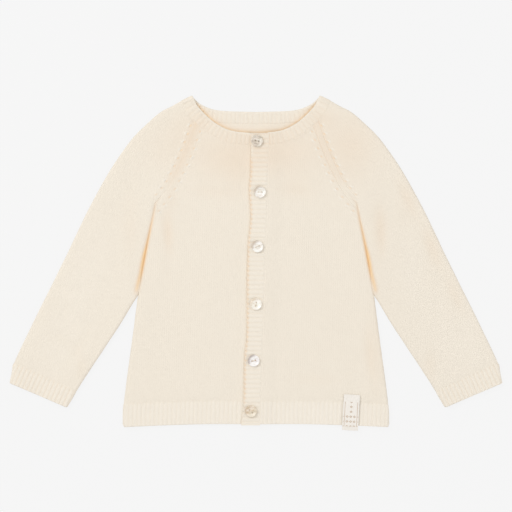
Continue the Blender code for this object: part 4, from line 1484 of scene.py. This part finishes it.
def half_neckband(side):
    """Sections, knit coordinates and painted shade and light of one side."""
    across, off, outer_face, inner_face = band_section(NECKBAND + FLAT_OVERLAP)
    body = smooth_step((across - EDGE_PLAIN) / EDGE_PLAIN) * smooth_step((NECKBAND - across) / SEAM_PLAIN)
    frames, pitch = neck_frames(side)
    rings, uv, warm = [], [], []
    for edge, way, turn, distance in frames:
        plan = edge + across[:, None] * way
        behind = turn == math.pi
        phase = 2 * distance / pitch
        begun = smooth_step(distance / SEAM_PLAIN)
        crest = rib_shape(phase) * begun
        hollow = rib_shape(phase + 1)
        relief = outer_face * (crest - behind) * RIB_RISE + inner_face * (hollow if turn else 0.0) * RIB_RISE
        bound = near(across, BIND_WIDTH) * BIND_OFF * (1 - behind) * (0.6 + 0.4 * math.cos(TURN * phase))
        depth = off + (relief * body + bound) * np.sign(off)
        if turn:
            radius = ROUND_RADIUS + depth
            flat = plan + fold_out * (radius * math.sin(turn))[:, None]
            height = FOLD_RADIUS + radius * math.cos(turn)
        else:
            flat = plan
            height = front_lift(plan, side) + WALL / 2 - NECK_TUCK_DROP * (1 - begun) + depth
        rings.append(np.column_stack([flat, height]) * (side, 1, 1))
        uv.append(np.column_stack([np.full(len(across), phase), across / COURSE]))
        # painted shade in the ribs' hollows, the front neckline's painted shadow inside the back, and broad
        # painted shade and light in front
        hollows = outer_face * (1 - crest) + inner_face * (1 - hollow)
        shade = neck_shade(plan) * inner_face * behind + shading_patches(plan, side) * (1 - behind)
        warm.append((shade + HOLLOW_SHADE * hollows) * smooth_step((across - SEAM_PLAIN) / SEAM_PLAIN))
    return np.array(rings), np.array(uv), np.array(warm)


def neckband():
    left, right = half_neckband(1), half_neckband(-1)
    turn = left[1][-1, 0, 0] + right[1][-1, 0, 0]
    sections, read, warm = (np.concatenate([first, second[-2::-1]]) for first, second in zip(left, right))
    read[len(left[1]) :] = read[len(left[1]) :] * (-1, 1) + (turn, 0)
    return strip_of("knit_neckband", sections, read, RIBBED, warm)


# ================================================================ front bands
EDGE_INSET = 0.0005
PICOT = 0.00055  # how far each rib's end reaches past the band's free edge
BEAD = 0.00025  # how much thicker the cloth is there
BEAD_WIDTH = 0.0016
BEAD_LINE = 0.0006  # from the edge to the middle of its painted shade line
BAND_RISE = 0.00045
BAND_HOLLOW_SHADE = 0.17  # painted shade between its ribs
BAND_LIGHT = -0.09  # painted light on its crests, laid over all of it away from its free edge


def front_band(name, left, right, lift_, raised):
    """Ribs across it, each ending in a small bead on the free edge."""
    rings, uv, warm = [], [], []
    ribs = round(BAND_LENGTH / BAND_RIB_PITCH)
    for share in np.arange(ribs * PER_RIB + 1) / (ribs * PER_RIB):
        y = BAND_END_Y + BAND_LENGTH * share
        phase = 2 * share * ribs
        width = right(y) - left(y) + SEAM_GAP
        across, off, outer_face, _ = band_section(width)
        crest = rib_shape(phase)
        edge = near(across, BEAD_WIDTH) * raised
        body = smooth_step((width - across) / EDGE_PLAIN)
        relief = outer_face * BAND_RISE * (crest + raised - 1) * body + edge * BEAD * crest * outer_face
        depth = off + relief * np.sign(off)
        places = np.column_stack([left(y) + across - PICOT * crest * edge, np.full(len(across), y)])
        rings.append(np.column_stack([places, lift_ + WALL / 2 + depth]))
        uv.append(np.column_stack([np.full(len(across), phase), across / COURSE]))
        # painted shade in the hollows, painted light elsewhere and a painted shade line along the free edge's
        # beads
        hollows = BAND_HOLLOW_SHADE * outer_face * (1 - crest) * body * (1 - 0.7 * edge)
        shade = near(across - BEAD_LINE, SEAM_LINE) * (1 - 0.45 * crest) * along_band(y) * (edge > 0)
        warm.append(hollows + (shading_patches(places, 1) + BAND_LIGHT) * (1 - edge) + BEAD_SHADE * shade)
    return strip_of(name, *(np.array(rows)[::-1] for rows in (rings, uv)), RIBBED, np.array(warm)[::-1])


# ================================================================ buttons
BUTTON_RADIUS = 0.0063
BUTTON_THICK = 0.0021
BUTTON_PROFILE = (
    # radius over BUTTON_RADIUS, height over BUTTON_THICK
    (0.00, 0.02),
    (0.60, 0.00),
    (0.80, 0.04),
    (0.93, 0.20),
    (0.99, 0.45),
    (1.00, 0.62),
    (0.985, 0.80),
    (0.945, 0.95),
    (0.89, 1.00),
    (0.83, 0.96),
    (0.76, 0.80),
    (0.68, 0.66),
    (0.50, 0.58),
)
HOLE_RADIUS = 0.0008
HOLE_OFFSET = 0.0018
BUTTON_AROUND = 64
HOLE_AROUND = 16
BUTTON_REST = OVER_LIFT + WALL + 0.0005 + SEAM_GAP
BUTTONS = (
    # x, y, turn in degrees, shell, thread
    (0.0011, 0.3000, -14.0, "grey", "dark"),
    (0.0042, 0.2459, 0.0, "white", "cream"),
    (0.0016, 0.1882, 24.0, "white", "cream"),
    (0.0000, 0.1272, 80.0, "cream", "tan"),
    (-0.0024, 0.0673, 15.0, "silver", "rust"),
    (-0.0053, 0.0138, -40.0, "brown", "tan"),
)
THREADS = {
    # its colour across the face, its colour in the holes, painted darker for the shade there, and how far up
    # it fills them
    "dark": ((0.56, 0.48, 0.38), (0.20, 0.15, 0.10), 0.50),
    "cream": ((0.88, 0.83, 0.74), (0.80, 0.70, 0.56), 0.92),
    "tan": ((0.84, 0.76, 0.63), (0.56, 0.42, 0.28), 0.80),
    "rust": ((0.86, 0.76, 0.64), (0.52, 0.30, 0.16), 0.80),
}
SHELLS = {
    # dark, middle, light, colour of the painted shade, and how strongly it is painted on the upper left
    "grey": ((0.36, 0.30, 0.23), (0.68, 0.60, 0.49), (0.86, 0.81, 0.73), (0.60, 0.54, 0.46), 0.35),
    "white": ((0.72, 0.65, 0.56), (0.88, 0.84, 0.77), (0.99, 0.97, 0.93), (0.50, 0.39, 0.28), 0.80),
    "cream": ((0.78, 0.70, 0.58), (0.90, 0.84, 0.74), (0.99, 0.96, 0.90), (0.74, 0.59, 0.42), 0.55),
    "silver": ((0.52, 0.47, 0.45), (0.83, 0.79, 0.77), (0.99, 0.97, 0.95), (0.42, 0.35, 0.31), 0.85),
    "brown": ((0.50, 0.36, 0.22), (0.74, 0.61, 0.45), (0.88, 0.80, 0.67), (0.50, 0.33, 0.17), 0.60),
}
# towards the painted shade on a button's face; the painted highlight lies the other way
SHADE_WAY = np.array([-0.8, 0.6])
SEED_STEP = 1.37  # between two shells' grains
STRAND = 0.00019
STRANDS = (-1.1 * STRAND, 1.15 * STRAND)  # how far each lies off the line between the holes
STRAND_POINTS = 15
STRAND_DIP = 0.0018  # how far its ends go down into the holes
STRAND_BEND = 0.78  # from this share of its half length on
KNOT_RADIUS = 0.00074
TUBE_SIDES = 8


def circle(count):
    turns = np.arange(count) * TURN / count
    return np.stack([np.cos(turns), np.sin(turns)], -1)


def button_mesh():
    """A turned disc whose face and underside are pierced by two holes."""
    rows = [(circle(BUTTON_AROUND) * share * BUTTON_RADIUS, height) for share, height in BUTTON_PROFILE[1:]]
    for _, height in (BUTTON_PROFILE[0], BUTTON_PROFILE[-1]):
        for side in (-1, 1):
            rows.append((circle(HOLE_AROUND) * HOLE_RADIUS + (side * HOLE_OFFSET, 0), height))
    points = np.vstack([np.insert(ring, 2, height * BUTTON_THICK, axis=1) for ring, height in rows])
    ends = np.cumsum([0] + [len(ring) for ring, _ in rows])
    numbers = [np.arange(*pair) for pair in zip(ends, ends[1:])]
    turned, under, face = numbers[:-4], numbers[-4:-2], numbers[-2:]
    faces = [between(*pair) for pair in zip(turned, turned[1:])]
    for order, rim, holes in ((-1, turned[0], under), (1, turned[-1], face)):
        chain = np.concatenate([rim, *holes])
        local = np.split(np.arange(len(chain)), (BUTTON_AROUND, BUTTON_AROUND + HOLE_AROUND))
        bounds = np.vstack([chained(loop) for loop in local])
        faces.append(chain[filled(points[chain, :2], bounds, BUTTON_AROUND)][:, ::order])
    faces += [between(high, low) for low, high in zip(under, face)]
    return mesh_of("button", points.tolist(), [row for some in faces for row in some.tolist()], [])


def tube(path, radius):
    """The rings of a round bar along a path."""
    runs = unit(np.gradient(path, axis=0))
    aside = unit(np.cross(runs, (0.3, 1.0, 0.0)) + 1e-9)
    up = np.cross(aside, runs)
    across, along = circle(TUBE_SIDES).T[..., None]
    return path[:, None] + radius * (across * aside[:, None] + along * up[:, None])


def sewing(number, kind):
    """Two strands from hole to hole across a button's face, and the thread that fills each hole."""
    over, shaded_in_holes, full = THREADS[kind]
    materials = [thread(f"thread_{number}", over), thread(f"thread_shaded_in_holes_{number}", shaded_in_holes)]
    face = BUTTON_PROFILE[-1][1] * BUTTON_THICK
    spans = np.linspace(-1, 1, STRAND_POINTS)
    dip = np.clip(np.abs(spans) - STRAND_BEND, 0, 1) / (1 - STRAND_BEND)
    arch = face + STRAND * 0.6 - STRAND_DIP * dip
    bars = []
    for aside in STRANDS:
        path = np.column_stack([spans * (HOLE_OFFSET + 0.0002), np.full(STRAND_POINTS, aside), arch])
        bars.append((tube(path, STRAND), 0))
    for side in (-1, 1):
        path = np.array([(side * HOLE_OFFSET, 0, rise * face) for rise in np.linspace(0.05, full, 3)])
        bars.append((tube(path, KNOT_RADIUS), 1))
    points, faces, slots = [], [], []
    for rings, slot in bars:
        sides = [row for some in bar_faces(*rings.shape[:2]) for row in (some + len(points)).tolist()]
        points += rings.reshape(-1, 3).tolist()
        faces += sides
        slots += [slot] * len(sides)
    name = f"button_thread_{number}"
    return placed(name, mesh_of(name, points, faces, materials, slots, sharp=False))


def buttons():
    base = button_mesh()
    for number, (x, y, turn, kind, thread_) in enumerate(BUTTONS, start=1):
        put = Matrix.Translation((x, y + HEM_Y, BUTTON_REST)) @ Matrix.Rotation(math.radians(turn), 4, "Z")
        mesh = base.copy()
        mesh.materials.append(shell(f"shell_{number}", *SHELLS[kind], seed=number * SEED_STEP))
        mesh.transform(put)
        off = (np.array([vertex.co[:2] for vertex in mesh.vertices]) - (x, y + HEM_Y)) / BUTTON_RADIUS
        # painted shade towards the upper left and painted highlight towards the lower right, strongest near
        # the rim
        tag(mesh, "shade", (off @ SHADE_WAY) * smooth_step((np.linalg.norm(off, axis=1) - 0.3) / 0.5))
        stands_for(placed(f"shell_button_{number}", mesh), f"button_{number}")
        strands = sewing(number, thread_)
        strands.data.transform(put)
        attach(strands, "root")


# ================================================================ label
LABEL_WIDTH = 0.0170
LABEL_THICK = 0.0010
LABEL_TOP = np.array([0.1017, 0.0313])
LABEL_FOLD = np.array([0.0995, -0.0064])
LABEL_SINK = 0.0010
LABEL_ROWS = 40
LABEL_COLUMNS = 13
LABEL_TURN = 9  # points round its fold
LABEL_GAP = 0.0002
LABEL_CURL = 0.00012  # how much higher its middle lies than its sides
TAPE = 0.00032  # thickness of the ribbon


def label():
    """A ribbon folded in two at its free end and sewn down at its top."""
    along = LABEL_FOLD - LABEL_TOP
    length = float(np.linalg.norm(along))
    ways = np.array([unit(along), unit(np.array([-along[1], along[0]]))])
    rest = float(front_lift(LABEL_TOP[None], 1)[0]) + WALL + LABEL_GAP
    share = np.linspace(0, 1, LABEL_ROWS)
    sunk = rest - LABEL_SINK * smooth_step(-(LABEL_TOP[1] + along[1] * share) / abs(LABEL_FOLD[1]))
    fold = (LABEL_THICK - TAPE) / 2
    turn = np.linspace(-np.pi / 2, np.pi / 2, LABEL_TURN)[1:-1]
    lower = np.minimum(share * length, length - fold * (share == 1))
    reach = np.concatenate([lower, length - fold + fold * np.cos(turn), lower[::-1]])
    middle = sunk[-1] + LABEL_THICK / 2 + fold * np.sin(turn)
    z = np.concatenate([sunk + TAPE / 2, middle, (sunk + LABEL_THICK - TAPE / 2)[::-1]])
    path = np.column_stack([reach, z])[::-1]
    runs = unit(np.gradient(path, axis=0))
    sides = np.linspace(-1, 1, LABEL_COLUMNS)
    curve = LABEL_CURL * np.cos(sides * np.pi / 2)
    across = np.concatenate([sides, sides[::-1]]) * LABEL_WIDTH / 2
    thick = np.concatenate([curve + TAPE / 2, (curve - TAPE / 2)[::-1]])
    rings, uv = [], []
    for (far, height), (run, rise) in zip(path, runs):
        plan = np.column_stack([far - rise * thick, across]) @ ways + LABEL_TOP
        rings.append(np.column_stack([plan, height + run * thick]))
        uv.append(np.column_stack([across, np.full(len(across), far)]) * 1000)
    warm = np.zeros(len(rings) * len(across))
    return strip_of("label_ribbon", np.array(rings), np.array(uv), ribbon(), warm)


# ================================================================ the cardigan
def stands_for(obj, node):
    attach(obj, "root")
    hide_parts(node)


def sheet(obj, node):
    stands_for(obj, node)


def cardigan():
    for side, name in SIDES.items():
        piece, area = front(side)
        sheet(piece, f"front_{name}")
        piece, area = sleeve(side)
        sheet(piece, f"sleeve_{name}")
    piece, area = back()
    sheet(piece, "back")
    sheet(neckband(), "neckband")
    over = front_band("knit_band_left", lambda y: band_edge(y) + EDGE_INSET, band_seam, OVER_LIFT, True)
    sheet(over, "band_left")
    under = front_band("knit_band_right", under_seam, lambda y: band_seam(y) - UNDER_INSET, MID_LIFT, False)
    sheet(under, "band_right")
    buttons()
    sheet(label(), "label")


# ================================================================ stage
PIXEL = 0.00106  # of the photograph, on the cloth
PHOTO = 512
LOOK_Y = 0.17808  # height above the hem line at the photograph's middle
LENS = 200.0
SENSOR = 36.0
FLOOR_HALF = 4.0
FLOOR_TONE = 0.917
FLOOR_BOUNCE = 0.07  # the part of its tone that a contact shadow can take away
SKY = (1.0, 0.995, 0.985, 1.0)
SKY_POWER = 0.74
LIGHTS = (
    # name, place, size, power
    ("key", (-1.3, 1.0, 1.9), 1.2, 20.4),
    ("fill", (1.6, -0.7, 1.7), 1.4, 7.5),
)


def floor():
    nodes = Nodes("floor")
    material = nodes.surface(
        Base_Color=(FLOOR_BOUNCE, FLOOR_BOUNCE, FLOOR_BOUNCE, 1.0),
        Roughness=1.0,
        Specular_IOR_Level=0.0,
        Emission_Color=(1.0, 1.0, 1.0, 1.0),
        Emission_Strength=FLOOR_TONE - FLOOR_BOUNCE,
    )
    corners = [(x * FLOOR_HALF, y * FLOOR_HALF, 0) for x, y in ((-1, -1), (1, -1), (1, 1), (-1, 1))]
    placed("floor", mesh_of("floor", corners, [(0, 1, 2, 3)], [material]))


def studio():
    world = bpy.data.worlds.new("studio")
    world.use_nodes = True
    sky = world.node_tree.nodes["Background"]
    sky.inputs[0].default_value = SKY
    sky.inputs[1].default_value = SKY_POWER
    bpy.context.scene.world = world
    for name, place, size, power in LIGHTS:
        data = bpy.data.lights.new(name, "AREA")
        data.shape = "SQUARE"
        data.size = size
        data.energy = power
        light = placed(name, data)
        light.location = place
        light.rotation_euler = (-Vector(place)).to_track_quat("-Z", "Y").to_euler()


def camera():
    data = bpy.data.cameras.new("camera")
    data.lens = LENS
    data.sensor_width = SENSOR
    data.clip_start, data.clip_end = 0.1, 20.0
    view = placed("camera", data)
    view.location = (0.0, LOOK_Y + HEM_Y, PHOTO * PIXEL * LENS / SENSOR + HEIGHT / 2)
    bpy.context.scene.camera = view


cardigan()
floor()
studio()
camera()
bpy.context.scene.view_settings.view_transform = "Standard"
